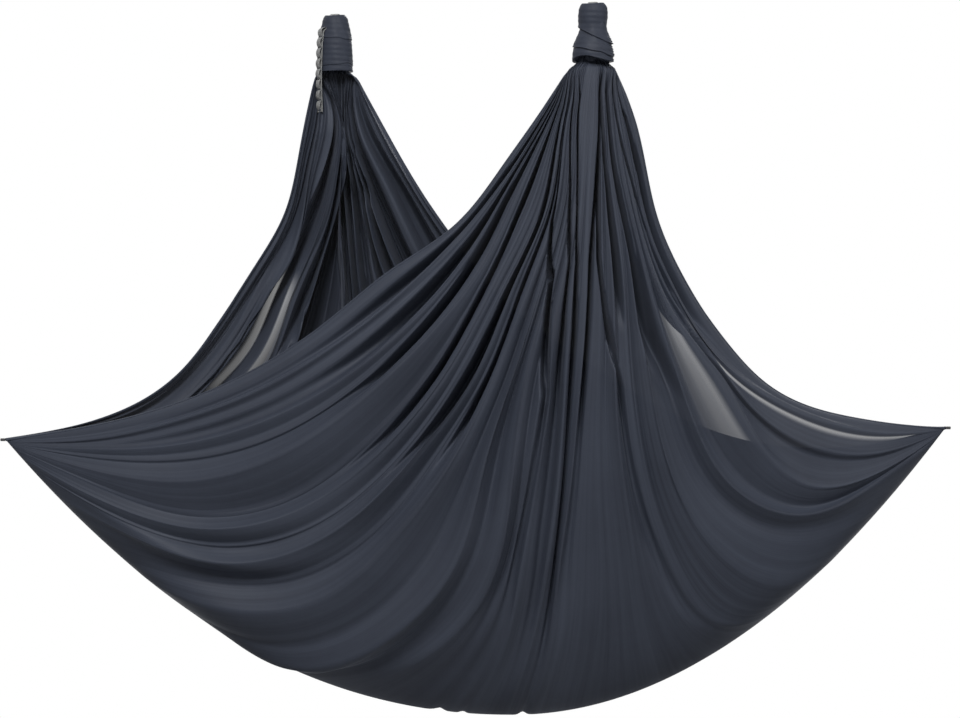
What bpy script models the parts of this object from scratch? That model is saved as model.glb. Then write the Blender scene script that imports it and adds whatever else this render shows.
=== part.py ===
"""Aerial yoga hammock.

One wide cloth hangs from two ceiling points. Each end is gathered, turned over
the lower bar of an oval carabiner and wrapped into a knot. The strap eye above
each carabiner takes the ceiling hook. The two plies of the cloth meet in the
bottom fold and wall the seat pocket between them.

Metres, +Z up. The origin is the seat of the right ceiling hook in the right
strap eye. +X runs to the right and +Y away from the viewer.
"""

import math

import bmesh
import bpy
import numpy as np
from mathutils import Matrix, Vector

# Hanging points
HANG_SPAN = 0.667
HANG_TURN = math.radians(18.4)
SWING_LIMIT = math.radians(30.0)

# Strap eyes and spare strap ends
STRAP_WIDTH = 0.022
STRAP_THICKNESS = 0.0025
HOOK_ROOM = 0.016
EYE_HALF_DEPTH = 0.0070
EYE_CORNER = 0.0040
LEFT_TAIL_LENGTH = 0.210
RIGHT_TAIL_LENGTH = 0.120
LEFT_TAIL_BEARING = math.radians(228.0)
RIGHT_TAIL_BEARING = math.radians(68.0)
TAIL_TOP = 0.034

# Oval carabiner
BAR_RADIUS = 0.0045
BEND_RADIUS = 0.0210
NOSE_LENGTH = 0.0045
GATE_RADIUS = 0.0042
GATE_LENGTH = 0.0380
HINGE_RISE = 0.0065
HEEL_LENGTH = 0.0035
TONGUE_THICKNESS = 0.0032
TONGUE_WIDTH = 0.0064
PIN_RADIUS = 0.0012
SLEEVE_RADIUS = 0.0066
SLEEVE_LENGTH = 0.0160
SLEEVE_LIFT = 0.0085

# Knots
HEM_BELOW_BAR = 0.0305
LEFT_HEM_WALL = 0.0159
RIGHT_HEM_WALL = 0.0209
LEFT_CROWN_WALL = 0.0029
RIGHT_CROWN_WALL = 0.0049
RIGHT_NECK_WALL = 0.0039
RIGHT_NECK_DROP = 0.062
LEFT_WAIST_DROP = 0.071
RIGHT_WAIST_DROP = 0.102
WAIST_SHARE = 0.75
FRONT_WALL = 0.0185
CROWN_ROUNDING = 0.018
HOOK_WAY = 0.0110
BIGHT_RISE = 0.0140
BIGHT_ROUNDING = 0.0060

# Cloth
CLOTH_THICKNESS = 0.0020
LEFT_TIP_X = -1.436
LEFT_TIP_Z = -1.055
RIGHT_TIP_X = 0.870
RIGHT_TIP_Z = -1.026
LOW_POINT_X = -0.190
LOW_POINT_Z = -1.730
FOLD_PLANE_Y = 0.115
LEFT_BOW = 2.15
RIGHT_BOW = 2.0
POCKET_BILLOW = 0.250
FRONT_ARCH_POWER = 0.52
REAR_ARCH_POWER = 0.8
BELLY_POWER = 0.8
BUNDLE_HALF_DEPTH = 0.030
COLUMNS_PER_FOLD = 4
PANEL_ROWS = 20
ROW_CROWDING = 1.7
FOLD_SLENDERNESS = 0.45
CALM_POWER = 6
FAN_POWER = 2.2
FOLD_SAMPLES = 2001

# Main crests of each ply, from its left edge to its right one: place across the gathered
# cloth, place along the bottom fold, height, place of the hollow that follows it, and then
# its points across and up at four shares of the fall. Heights and points count in units.
CREST_UNIT = 0.001
CREST_FALLS = (0.17, 0.40, 0.64, 0.88)
FRONT_CRESTS = (
    (0, 0, 12, 0.5, (-214, -387), (-500, -659), (-836, -902), (-1230, -1028)),
    (0.07, 0.004, 14, 0.35, (-193, -415), (-430, -756), (-786, -1003), (-1212, -1078)),
    (0.13, 0.0059, 34, 0.45, (-176, -439), (-401, -810), (-761, -1089), (-1206, -1130)),
    (0.2, 0.0179, 14, 0.4, (-138, -476), (-355, -892), (-711, -1220), (-1185, -1203)),
    (0.26, 0.0646, 20, 0.4, (-109, -482), (-293, -914), (-625, -1271), (-1092, -1291)),
    (0.32, 0.1664, 40, 0.45, (-87, -467), (-234, -888), (-481, -1280), (-887, -1453)),
    (0.37, 0.256, 34, 0.45, (-70, -466), (-189, -892), (-329, -1332), (-687, -1596)),
    (0.41, 0.3721, 26, 0.5, (-54, -436), (-144, -827), (-209, -1241), (-428, -1580)),
    (0.45, 0.4809, 26, 0.5, (-38, -417), (-95, -785), (-156, -1170), (-226, -1554)),
    (0.53, 0.5414, 12, 0.5, (-8, -414), (-23, -781), (-59, -1162), (-104, -1543)),
    (0.63, 0.6636, 26, 0.55, (28, -401), (43, -749), (60, -1113), (123, -1471)),
    (0.69, 0.7833, 36, 0.6, (42, -413), (79, -777), (128, -1156), (298, -1490)),
    (0.76, 0.8534, 34, 0.6, (55, -411), (109, -769), (183, -1140), (438, -1396)),
    (0.87, 0.9955, 18, 0.6, (81, -403), (180, -743), (385, -1052), (704, -1132)),
    (0.95, 0.9976, 14, 0.6, (97, -373), (182, -678), (388, -931), (700, -1036)),
    (1, 1, 14, 0.6, (122, -361), (211, -657), (403, -917), (707, -1019)),
)
REAR_CRESTS = (
    (0, 0, 14, 0.4, (-722, -361), (-826, -640), (-1003, -898), (-1281, -1029)),
    (0.1, 0.0047, 20, 0.4, (-697, -368), (-806, -654), (-983, -921), (-1267, -1055)),
    (0.21, 0.0097, 12, 0.45, (-653, -377), (-778, -678), (-965, -958), (-1253, -1116)),
    (0.31, 0.0398, 26, 0.5, (-634, -393), (-728, -723), (-905, -1030), (-1196, -1204)),
    (0.4, 0.1653, 26, 0.5, (-626, -379), (-679, -695), (-786, -1013), (-965, -1295)),
    (0.48, 0.3169, 26, 0.5, (-614, -393), (-600, -734), (-638, -1087), (-721, -1432)),
    (0.57, 0.4346, 26, 0.5, (-591, -409), (-550, -769), (-491, -1142), (-463, -1520)),
    (0.67, 0.5414, 26, 0.5, (-561, -421), (-437, -781), (-274, -1145), (-173, -1531)),
    (0.77, 0.6636, 26, 0.5, (-535, -423), (-362, -775), (-136, -1117), (72, -1470)),
    (0.84, 0.7615, 26, 0.5, (-506, -418), (-308, -761), (-29, -1067), (259, -1364)),
    (1, 1, 14, 0.5, (-429, -418), (-159, -753), (213, -1002), (652, -1078)),
)

# Edge clips
CLIP_LENGTH = 0.012
CLIP_WIDTH = 0.007
CLIP_ROUNDING = 0.0015

# Clearances
SEAT_GAP = 0.0003
STACK_GAP = 0.0006
PANEL_TOP_GAP = 0.0009
PLY_GAP = 0.0009
TIP_GAP = 0.0008
CAVITY_MARGIN = 0.0025
ROOM_BULGE = 0.0030
SWING_CLEARANCE = 0.0012
CUT_OVERRUN = 0.030

# Mesh steps
ROUND_SIDES = 20
PIN_SIDES = 12
SLEEVE_SIDES = 24
KNOT_SIDES = 32
BEND_POINTS = 15
WELD_DISTANCE = 1e-6
SHORTEST_NORMAL = 1e-12

# Worked out from the sizes above
BAR_SPACING = 2 * BEND_RADIUS + NOSE_LENGTH + GATE_LENGTH + HINGE_RISE
PIVOT_DROP = HOOK_ROOM + BAR_RADIUS
LOWER_BAR_DROP = PIVOT_DROP + BAR_SPACING
UPPER_BEND_DROP = PIVOT_DROP + BEND_RADIUS
LOWER_BEND_DROP = LOWER_BAR_DROP - BEND_RADIUS
HINGE_DROP = LOWER_BEND_DROP - HINGE_RISE
NOSE_DROP = HINGE_DROP - GATE_LENGTH
KNOT_HEIGHT = LOWER_BAR_DROP + HEM_BELOW_BAR
SWING_REACH = (
    (EYE_HALF_DEPTH - EYE_CORNER) * math.cos(SWING_LIMIT)
    + (PIVOT_DROP - EYE_CORNER) * math.sin(SWING_LIMIT)
    + EYE_CORNER
    + STRAP_THICKNESS
)
CAVITY_HALF_DEPTH = SWING_REACH + SWING_CLEARANCE
CAVITY_HALF_WIDTH = BEND_RADIUS + SLEEVE_RADIUS + CAVITY_MARGIN
ROOM_HALF_DEPTH = CAVITY_HALF_DEPTH + ROOM_BULGE
BIGHT_HALF_DEPTH = CAVITY_HALF_DEPTH - SEAT_GAP
KNOT_HALF_DEPTH = CAVITY_HALF_DEPTH + FRONT_WALL
LEFT_HEM = CAVITY_HALF_WIDTH + LEFT_HEM_WALL
RIGHT_HEM = CAVITY_HALF_WIDTH + RIGHT_HEM_WALL

CLOTH = ("cloth", (0.062, 0.068, 0.080), 0.55, 0.0)
WRAP = ("wrap", (0.070, 0.076, 0.090), 0.60, 0.0)
WEBBING = ("webbing", (0.42, 0.43, 0.44), 0.80, 0.0)
STEEL = ("steel", (0.60, 0.61, 0.62), 0.30, 1.0)
LOCK = ("lock", (0.16, 0.17, 0.19), 0.40, 0.9)
GRIP = ("grip", (0.020, 0.020, 0.022), 0.50, 0.0)


def clear_scene():
    """Remove every object, so that the model starts from nothing."""
    for item in list(bpy.data.objects):
        bpy.data.objects.remove(item, do_unlink=True)


def new_collection(name):
    """Make a collection in the scene and return it."""
    group = bpy.data.collections.new(name)
    bpy.context.scene.collection.children.link(group)
    return group


def finish_of(name, colour, roughness, metallic):
    """Make one Principled material."""
    material = bpy.data.materials.new(name)
    material.use_nodes = True
    shader = material.node_tree.nodes["Principled BSDF"]
    shader.inputs["Base Color"].default_value = (*colour, 1.0)
    shader.inputs["Roughness"].default_value = roughness
    shader.inputs["Metallic"].default_value = metallic
    return material


def place(item, group, finish=None):
    """Put an object in its collection and give it its own material."""
    group.objects.link(item)
    if finish is not None:
        item.data.materials.append(finish_of(f"{item.name}_{finish[0]}", *finish[1:]))
    return item


def object_from_bmesh(name, shape):
    """Turn a bmesh into an object."""
    mesh = bpy.data.meshes.new(name)
    shape.to_mesh(mesh)
    shape.free()
    return bpy.data.objects.new(name, mesh)


def box_object(name, low, high):
    """Make a box between two corners."""
    shape = bmesh.new()
    bmesh.ops.create_cube(shape, size=1.0)
    size = Vector(high) - Vector(low)
    middle = (Vector(high) + Vector(low)) / 2
    bmesh.ops.scale(shape, vec=size, verts=shape.verts)
    bmesh.ops.translate(shape, vec=middle, verts=shape.verts)
    return object_from_bmesh(name, shape)


def rod_object(name, radius, length, turn=None, centre=(0, 0, 0), sides=ROUND_SIDES):
    """Make a round rod along Z, turned and then moved to its centre."""
    shape = bmesh.new()
    bmesh.ops.create_cone(
        shape, cap_ends=True, segments=sides, radius1=radius, radius2=radius, depth=length
    )
    if turn is not None:
        bmesh.ops.transform(shape, matrix=turn, verts=shape.verts)
    bmesh.ops.translate(shape, vec=Vector(centre), verts=shape.verts)
    return object_from_bmesh(name, shape)


def tube_object(name, points, radius, sides_level=3):
    """Make a round bar along points, as a welded mesh with filled caps."""
    curve = bpy.data.curves.new(name, "CURVE")
    curve.dimensions = "3D"
    curve.bevel_depth = radius
    curve.bevel_resolution = sides_level
    curve.use_fill_caps = True
    spline = curve.splines.new("POLY")
    spline.points.add(len(points) - 1)
    for knot, point in zip(spline.points, points):
        knot.co = (*point, 1.0)
    guide = bpy.data.objects.new(f"{name}_guide", curve)
    bpy.context.scene.collection.objects.link(guide)
    graph = bpy.context.evaluated_depsgraph_get()
    mesh = bpy.data.meshes.new_from_object(guide.evaluated_get(graph))
    bpy.data.objects.remove(guide, do_unlink=True)
    shape = bmesh.new()
    shape.from_mesh(mesh)
    bmesh.ops.remove_doubles(shape, verts=shape.verts, dist=WELD_DISTANCE)
    bmesh.ops.recalc_face_normals(shape, faces=shape.faces)
    return object_from_bmesh(name, shape)


def outline_object(name, loops, half_thickness):
    """Make a flat plate in the XZ plane from closed outlines, with holes cut by inner ones."""
    curve = bpy.data.curves.new(name, "CURVE")
    curve.dimensions = "2D"
    curve.fill_mode = "BOTH"
    curve.extrude = half_thickness
    for loop in loops:
        spline = curve.splines.new("POLY")
        spline.points.add(len(loop) - 1)
        spline.use_cyclic_u = True
        for knot, (across, up) in zip(spline.points, loop):
            knot.co = (across, up, 0.0, 1.0)
    guide = bpy.data.objects.new(f"{name}_guide", curve)
    bpy.context.scene.collection.objects.link(guide)
    graph = bpy.context.evaluated_depsgraph_get()
    mesh = bpy.data.meshes.new_from_object(guide.evaluated_get(graph))
    bpy.data.objects.remove(guide, do_unlink=True)
    shape = bmesh.new()
    shape.from_mesh(mesh)
    bmesh.ops.remove_doubles(shape, verts=shape.verts, dist=WELD_DISTANCE)
    bmesh.ops.rotate(
        shape, cent=(0, 0, 0), matrix=Matrix.Rotation(math.pi / 2, 3, "X"), verts=shape.verts
    )
    bmesh.ops.recalc_face_normals(shape, faces=shape.faces)
    return object_from_bmesh(name, shape)


def arc_points(centre_x, centre_z, radius, start, end, count):
    """Return points of an arc in the XZ plane, from the start angle to the end angle."""
    angles = [start + (end - start) * step / (count - 1) for step in range(count)]
    return [
        (centre_x + radius * math.cos(angle), centre_z + radius * math.sin(angle))
        for angle in angles
    ]


def oval_outline(half_width, top, bottom, count=13):
    """Return a closed outline with straight sides and half-round ends."""
    upper = arc_points(0.0, top - half_width, half_width, 0.0, math.pi, count)
    lower = arc_points(0.0, bottom + half_width, half_width, math.pi, 2 * math.pi, count)
    return upper + lower


def eye_outline(half_width, corner, top, bottom, count=7):
    """Return a closed outline with a flat top, rounded corners and a half-round bottom."""
    right = arc_points(half_width - corner, top - corner, corner, 0.0, math.pi / 2, count)
    left = arc_points(corner - half_width, top - corner, corner, math.pi / 2, math.pi, count)
    lower = arc_points(0.0, bottom + half_width, half_width, math.pi, 2 * math.pi, 2 * count)
    return right + left + lower


def add_boolean(item, tool, operation="DIFFERENCE"):
    """Cut or join one object with another."""
    step = item.modifiers.new(f"{operation.lower()}_{tool.name}", "BOOLEAN")
    step.operation = operation
    step.solver = "EXACT"
    step.object = tool


def add_bevel(item, width, segments=2):
    """Round the sharp edges of an object."""
    step = item.modifiers.new("rounding", "BEVEL")
    step.width = width
    step.segments = segments
    step.limit_method = "ANGLE"
    step.angle_limit = math.radians(40)


def smooth(item):
    """Shade a round object smooth, with its corners kept sharp."""
    item.data.shade_smooth()
    item.data.set_sharp_from_angle(angle=math.radians(35))
    return item


class Workshop:
    """Keeps the collections and adds the pieces to them."""

    def __init__(self):
        self.parts = new_collection("aerial_yoga_hammock")
        self.cutters = new_collection("cutters")

    def cutter(self, item, parent=None):
        """Keep an object as a hidden cutter."""
        place(item, self.cutters)
        item.hide_render = True
        item.display_type = "WIRE"
        item.parent = parent
        return item

    def piece(self, item, finish, parent=None):
        """Keep an object as a piece of the hammock."""
        place(item, self.parts, finish)
        item.parent = parent
        return item


def strap_eye(shop, side, frame):
    """Closed loop of webbing round the carabiner's upper bar, with room for a hook."""
    bend_inside = math.sqrt((BEND_RADIUS - BAR_RADIUS) ** 2 - (STRAP_WIDTH / 2) ** 2)
    inner_bottom = -UPPER_BEND_DROP + bend_inside - STACK_GAP
    inner = eye_outline(EYE_HALF_DEPTH, EYE_CORNER, 0.0, inner_bottom)
    outer = eye_outline(
        EYE_HALF_DEPTH + STRAP_THICKNESS,
        EYE_CORNER + STRAP_THICKNESS,
        STRAP_THICKNESS,
        inner_bottom - STRAP_THICKNESS,
    )
    eye = outline_object(f"{side}_strap_eye", [outer, inner], STRAP_WIDTH / 2)
    eye.data.transform(Matrix.Rotation(math.pi / 2, 4, "Z"))
    return shop.piece(smooth(eye), WEBBING, frame)


def carabiner_route():
    """Centre line of the frame, from the nose over the top and the spine to the hinge end."""
    top = arc_points(0.0, -UPPER_BEND_DROP, BEND_RADIUS, 0.0, math.pi, BEND_POINTS)
    bottom = arc_points(
        0.0, -LOWER_BEND_DROP, BEND_RADIUS, math.pi, 2 * math.pi, BEND_POINTS
    )
    nose = [(BEND_RADIUS, -NOSE_DROP + SEAT_GAP)]
    hinge_end = [(BEND_RADIUS, -HINGE_DROP - HEEL_LENGTH - GATE_RADIUS / 2 - STACK_GAP)]
    return [(across, 0.0, up) for across, up in nose + top + bottom + hinge_end]


def carabiner_frame(shop, side, frame):
    """Oval frame with a flat tongue for the gate's fork, drilled for the pin."""
    body = tube_object(f"{side}_carabiner_frame", carabiner_route(), BAR_RADIUS)
    tongue_top = -HINGE_DROP + TONGUE_WIDTH / 2
    tongue_low = -LOWER_BEND_DROP - BAR_RADIUS
    tongue = box_object(
        f"{side}_tongue",
        (BEND_RADIUS - TONGUE_WIDTH / 2, -TONGUE_THICKNESS / 2, tongue_low),
        (BEND_RADIUS + TONGUE_WIDTH / 2, TONGUE_THICKNESS / 2, tongue_top),
    )
    hole = rod_object(
        f"{side}_tongue_hole",
        PIN_RADIUS + SEAT_GAP,
        4 * BAR_RADIUS,
        Matrix.Rotation(math.pi / 2, 4, "X"),
        (BEND_RADIUS, 0.0, -HINGE_DROP),
    )
    add_boolean(body, shop.cutter(tongue, frame), "UNION")
    add_boolean(body, shop.cutter(hole, frame))
    return shop.piece(smooth(body), STEEL, frame)


def carabiner_gate(shop, side, frame):
    """Gate bar with a forked heel that straddles the tongue."""
    gate = rod_object(
        f"{side}_carabiner_gate",
        GATE_RADIUS,
        GATE_LENGTH + HEEL_LENGTH,
        None,
        (0.0, 0.0, (GATE_LENGTH - HEEL_LENGTH) / 2),
    )
    slot_half = TONGUE_THICKNESS / 2 + SEAT_GAP
    slot = box_object(
        f"{side}_fork_slot",
        (-2 * GATE_RADIUS, -slot_half, -2 * HEEL_LENGTH),
        (2 * GATE_RADIUS, slot_half, TONGUE_WIDTH / 2 + HEEL_LENGTH / 2),
    )
    hole = rod_object(
        f"{side}_fork_hole",
        PIN_RADIUS + SEAT_GAP,
        4 * GATE_RADIUS,
        Matrix.Rotation(math.pi / 2, 4, "X"),
    )
    for tool in (slot, hole):
        tool.location = (BEND_RADIUS, 0.0, -HINGE_DROP)
        add_boolean(gate, shop.cutter(tool, frame))
    gate.location = (BEND_RADIUS, 0.0, -HINGE_DROP)
    return shop.piece(smooth(gate), STEEL, frame)


def gate_pin(shop, side, frame):
    """Pin through the fork and the tongue."""
    pin = rod_object(
        f"{side}_gate_pin",
        PIN_RADIUS,
        2 * GATE_RADIUS,
        Matrix.Rotation(math.pi / 2, 4, "X"),
        (BEND_RADIUS, 0.0, -HINGE_DROP),
        PIN_SIDES,
    )
    return shop.piece(smooth(pin), STEEL, frame)


def lock_sleeve(shop, side, frame):
    """Sleeve on the gate, turned as a closed ring profile."""
    bore = GATE_RADIUS + SEAT_GAP
    chamfer = (SLEEVE_RADIUS - bore) / 2
    profile = [
        (bore, 0.0),
        (bore, SLEEVE_LENGTH),
        (SLEEVE_RADIUS - chamfer, SLEEVE_LENGTH),
        (SLEEVE_RADIUS, SLEEVE_LENGTH - chamfer),
        (SLEEVE_RADIUS, chamfer),
        (SLEEVE_RADIUS - chamfer, 0.0),
    ]
    sleeve = turned_object(f"{side}_lock_sleeve", profile, SLEEVE_SIDES)
    sleeve.location = (BEND_RADIUS, 0.0, -HINGE_DROP + SLEEVE_LIFT)
    return shop.piece(sleeve, LOCK, frame)


def turned_object(name, profile, steps, closed=True):
    """Turn a profile of radius and height round Z with a Screw modifier."""
    mesh = bpy.data.meshes.new(name)
    points = [(radius, 0.0, height) for radius, height in profile]
    edges = [(index, index + 1) for index in range(len(points) - 1)]
    if closed:
        edges.append((len(points) - 1, 0))
    mesh.from_pydata(points, edges, [])
    item = bpy.data.objects.new(name, mesh)
    screw = item.modifiers.new("turned", "SCREW")
    screw.steps = steps
    screw.render_steps = steps
    screw.use_merge_vertices = True
    screw.merge_threshold = WELD_DISTANCE
    screw.use_smooth_shade = True
    screw.use_normal_calculate = True
    return item


def cloth_bight(shop, side, frame):
    """Gathered cloth's turn over the lower bar, with a channel that the bar lies in."""
    half_width = BEND_RADIUS - BAR_RADIUS - STACK_GAP
    top = -LOWER_BAR_DROP + BAR_RADIUS + BIGHT_RISE
    bight = box_object(
        f"{side}_cloth_bight",
        (-half_width, -BIGHT_HALF_DEPTH, -KNOT_HEIGHT),
        (half_width, BIGHT_HALF_DEPTH, top),
    )
    add_bevel(bight, BIGHT_ROUNDING, 3)
    channel = tube_object(f"{side}_bar_channel", carabiner_route(), BAR_RADIUS + SEAT_GAP)
    add_boolean(bight, shop.cutter(channel, frame))
    return shop.piece(smooth(bight), CLOTH, frame)


def knot_profile(side):
    """Half widths and heights of a knot's outside, from the crown down to the hem."""
    if side == "left":
        crown = CAVITY_HALF_WIDTH + LEFT_CROWN_WALL
        hem = LEFT_HEM
        waist = [(crown + (hem - crown) * WAIST_SHARE, -LEFT_WAIST_DROP)]
    else:
        crown = CAVITY_HALF_WIDTH + RIGHT_CROWN_WALL
        hem = RIGHT_HEM
        neck = CAVITY_HALF_WIDTH + RIGHT_NECK_WALL
        flare = (neck + (hem - neck) * WAIST_SHARE, -RIGHT_WAIST_DROP)
        waist = [(neck, -RIGHT_NECK_DROP), flare]
    rounding = [
        (crown - CROWN_ROUNDING * (1 - math.sin(angle)), -CROWN_ROUNDING * (1 - math.cos(angle)))
        for angle in (math.radians(step) for step in (0, 30, 60, 90))
    ]
    return [(0.0, 0.0)] + rounding + waist + [(hem, -KNOT_HEIGHT), (0.0, -KNOT_HEIGHT)]


def flattening(side):
    """Ratio of a knot's depth to its width."""
    return KNOT_HALF_DEPTH / (LEFT_HEM if side == "left" else RIGHT_HEM)


def knot_cover(shop, side, frame):
    """Wrapped turns of cloth: an oval sleeve that is hollow for the carabiner."""
    cover = turned_object(
        f"{side}_knot_cover", knot_profile(side), KNOT_SIDES, closed=False
    )
    cover.scale = (1.0, flattening(side), 1.0)
    room_top = -PIVOT_DROP + BAR_RADIUS + CAVITY_MARGIN
    room_bottom = -LOWER_BAR_DROP - BAR_RADIUS - CAVITY_MARGIN
    outline = oval_outline(CAVITY_HALF_WIDTH, room_top, room_bottom)
    half = sorted((point for point in outline if point[0] > WELD_DISTANCE), key=lambda p: -p[1])
    profile = [(0.0, room_top)] + half + [(0.0, room_bottom)]
    room = turned_object(f"{side}_carabiner_room", profile, KNOT_SIDES, closed=False)
    room.scale = (1.0, ROOM_HALF_DEPTH / CAVITY_HALF_WIDTH, 1.0)
    strap_way = box_object(
        f"{side}_strap_way",
        (-STRAP_WIDTH / 2 - HOOK_WAY, -CAVITY_HALF_DEPTH, -UPPER_BEND_DROP),
        (STRAP_WIDTH / 2 + HOOK_WAY, CAVITY_HALF_DEPTH, CUT_OVERRUN),
    )
    cloth_way = box_object(
        f"{side}_cloth_way",
        (-BEND_RADIUS - BAR_RADIUS, -CAVITY_HALF_DEPTH, -KNOT_HEIGHT - CUT_OVERRUN),
        (BEND_RADIUS + BAR_RADIUS, CAVITY_HALF_DEPTH, -LOWER_BEND_DROP),
    )
    for tool in (room, strap_way, cloth_way):
        add_boolean(cover, shop.cutter(tool, frame))
    return shop.piece(cover, WRAP, frame)


def ribbon_object(name, route, across, thickness):
    """Strip of webbing along a route, from a flat surface with a thickness."""
    mesh = bpy.data.meshes.new(name)
    half = Vector(across) / 2
    points = [Vector(point) + half * sign for point in route for sign in (-1, 1)]
    faces = [
        (2 * index, 2 * index + 2, 2 * index + 3, 2 * index + 1) for index in range(len(route) - 1)
    ]
    mesh.from_pydata([tuple(point) for point in points], [], faces)
    item = bpy.data.objects.new(name, mesh)
    wall = item.modifiers.new("webbing", "SOLIDIFY")
    wall.thickness = thickness
    wall.offset = 1.0
    wall.use_even_offset = True
    return item


def outside_at(side, drop):
    """Half width of the knot at a depth below its crown."""
    outline = [point for point in knot_profile(side) if point[0] > 0]
    heights = [-height for _, height in outline]
    widths = [width for width, _ in outline]
    return float(np.interp(drop, heights, widths))


def strap_tail(shop, side, length, bearing, frame):
    """Spare end of the strap, lying flat down the oval knot's side at a compass bearing."""
    outward = Vector((math.cos(bearing), math.sin(bearing), 0.0))
    tangent = Vector((-outward.y, outward.x, 0.0))
    support = math.hypot(outward.x, outward.y * flattening(side))
    end = TAIL_TOP + length
    corners = {-height for _, height in knot_profile(side) if TAIL_TOP < -height < end}
    route = []
    reach = 0.0
    for drop in sorted(corners | {TAIL_TOP, end}):
        reach = max(outside_at(side, min(drop, KNOT_HEIGHT)) * support, reach)
        route.append(outward * (reach + SEAT_GAP) + Vector((0.0, 0.0, -drop)))
    tail = ribbon_object(f"{side}_strap_tail", route, tangent * STRAP_WIDTH, STRAP_THICKNESS)
    return shop.piece(tail, WEBBING, frame)


def edge_clip(shop, side, tip_x, tip_z, direction):
    """Small grip at an outer tip of the cloth."""
    inner = tip_x + direction * TIP_GAP
    outer = inner + direction * CLIP_LENGTH
    clip = box_object(
        f"{side}_edge_clip",
        (min(inner, outer), FOLD_PLANE_Y - CLIP_WIDTH / 2, tip_z - CLIP_WIDTH / 2),
        (max(inner, outer), FOLD_PLANE_Y + CLIP_WIDTH / 2, tip_z + CLIP_WIDTH / 2),
    )
    add_bevel(clip, CLIP_ROUNDING)
    return shop.piece(clip, GRIP)


def bottom_fold(share):
    """Points of the bottom fold at shares of its length, from the left tip to the right one."""
    across = np.linspace(LEFT_TIP_X, RIGHT_TIP_X, FOLD_SAMPLES)
    left = np.clip((LOW_POINT_X - across) / (LOW_POINT_X - LEFT_TIP_X), 0.0, 1.0)
    right = np.clip((across - LOW_POINT_X) / (RIGHT_TIP_X - LOW_POINT_X), 0.0, 1.0)
    up = (
        LOW_POINT_Z
        + (LEFT_TIP_Z - LOW_POINT_Z) * left**LEFT_BOW
        + (RIGHT_TIP_Z - LOW_POINT_Z) * right**RIGHT_BOW
    )
    length = np.concatenate([[0.0], np.cumsum(np.hypot(np.diff(across), np.diff(up)))])
    length /= length[-1]
    return np.interp(share, length, across), np.interp(share, length, up)


def spline_through(knots, values, at):
    """Natural cubic spline through rows of values, read at rising places."""
    step = np.diff(knots)
    flat = values.reshape(len(knots), -1)
    slope = np.diff(flat, axis=0) / step[:, None]
    inner = np.arange(1, len(knots) - 1)
    matrix = np.eye(len(knots))
    matrix[inner, inner - 1] = step[:-1]
    matrix[inner, inner] = 2 * (step[:-1] + step[1:])
    matrix[inner, inner + 1] = step[1:]
    right = np.zeros_like(flat)
    right[1:-1] = 6 * np.diff(slope, axis=0)
    bend = np.linalg.solve(matrix, right)
    cell = np.clip(np.searchsorted(knots, at, side="right") - 1, 0, len(knots) - 2)
    after = ((at - knots[cell]) / step[cell])[:, None]
    before = 1 - after
    curved = (before**3 - before) * bend[cell] + (after**3 - after) * bend[cell + 1]
    line = before * flat[cell] + after * flat[cell + 1]
    bowed = line + curved * (step[cell] ** 2)[:, None] / 6
    return bowed.reshape(len(at), *values.shape[1:])


def crest_lines(crests, drop, knot_x, knot_half):
    """Across and up along each crest, from the knot through its points to the bottom fold."""
    line = np.array([crest[0] for crest in crests])
    top_x = knot_x - knot_half * np.cos(np.pi * line)
    top_z = np.full_like(line, -KNOT_HEIGHT - PANEL_TOP_GAP)
    top = np.stack([top_x, top_z], axis=-1)[:, None]
    points = np.array([crest[4:] for crest in crests]) * CREST_UNIT
    end = np.stack(bottom_fold(np.array([crest[1] for crest in crests])), axis=-1)[:, None]
    control = np.concatenate([top, points, end], axis=1)
    return spline_through(np.array([0.0, *CREST_FALLS, 1.0]), control.swapaxes(0, 1), drop)


def fold_columns(crests):
    """Columns of the grid: each one's crest, its way to the next, and its hollow's place."""
    hollow = np.array([crest[3] for crest in crests[:-1]])
    ways = np.stack([0 * hollow, hollow / 2, hollow, (1 + hollow) / 2], axis=-1)
    cell = np.repeat(np.arange(len(crests) - 1), COLUMNS_PER_FOLD)
    way = np.append(ways.ravel(), 1.0)
    return np.append(cell, len(crests) - 2), way, np.append(hollow.repeat(COLUMNS_PER_FOLD), hollow[-1])


def ply_surface(crests, drop, knot_x, knot_y, knot_half, outward, arch_power):
    """Inner face of one ply without its folds, billowed out between knot and bottom fold."""
    cell, way, _ = fold_columns(crests)
    crest = crest_lines(crests, drop, knot_x, knot_half)
    flat = crest[:, cell] * (1 - way)[:, None] + crest[:, cell + 1] * way[:, None]
    places = np.array([crest[:2] for crest in crests])
    line, end_share = (places[cell] * (1 - way)[:, None] + places[cell + 1] * way[:, None]).T
    drop = drop[:, None]
    end = np.stack(bottom_fold(end_share), axis=-1)
    flat = flat + (end - flat[-1]) * (drop**4)[..., None]
    gather = 1 - drop**FAN_POWER
    share = gather * line + (1 - gather) * end_share
    fold_y = FOLD_PLANE_Y + outward * PLY_GAP / 2
    arch = np.clip(np.sin(np.pi * share), 0.0, 1.0) ** arch_power
    belly = arch * drop**BELLY_POWER * np.sqrt(1 - drop**2)
    bundle = np.sin(np.pi * line) - 0.5
    depth = (
        (1 - drop) * knot_y
        + drop * fold_y
        + outward * POCKET_BILLOW * belly
        + outward * BUNDLE_HALF_DEPTH * bundle * (1 - drop) ** 3
    )
    return np.stack([flat[..., 0], depth, flat[..., 1]], axis=-1)


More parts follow.
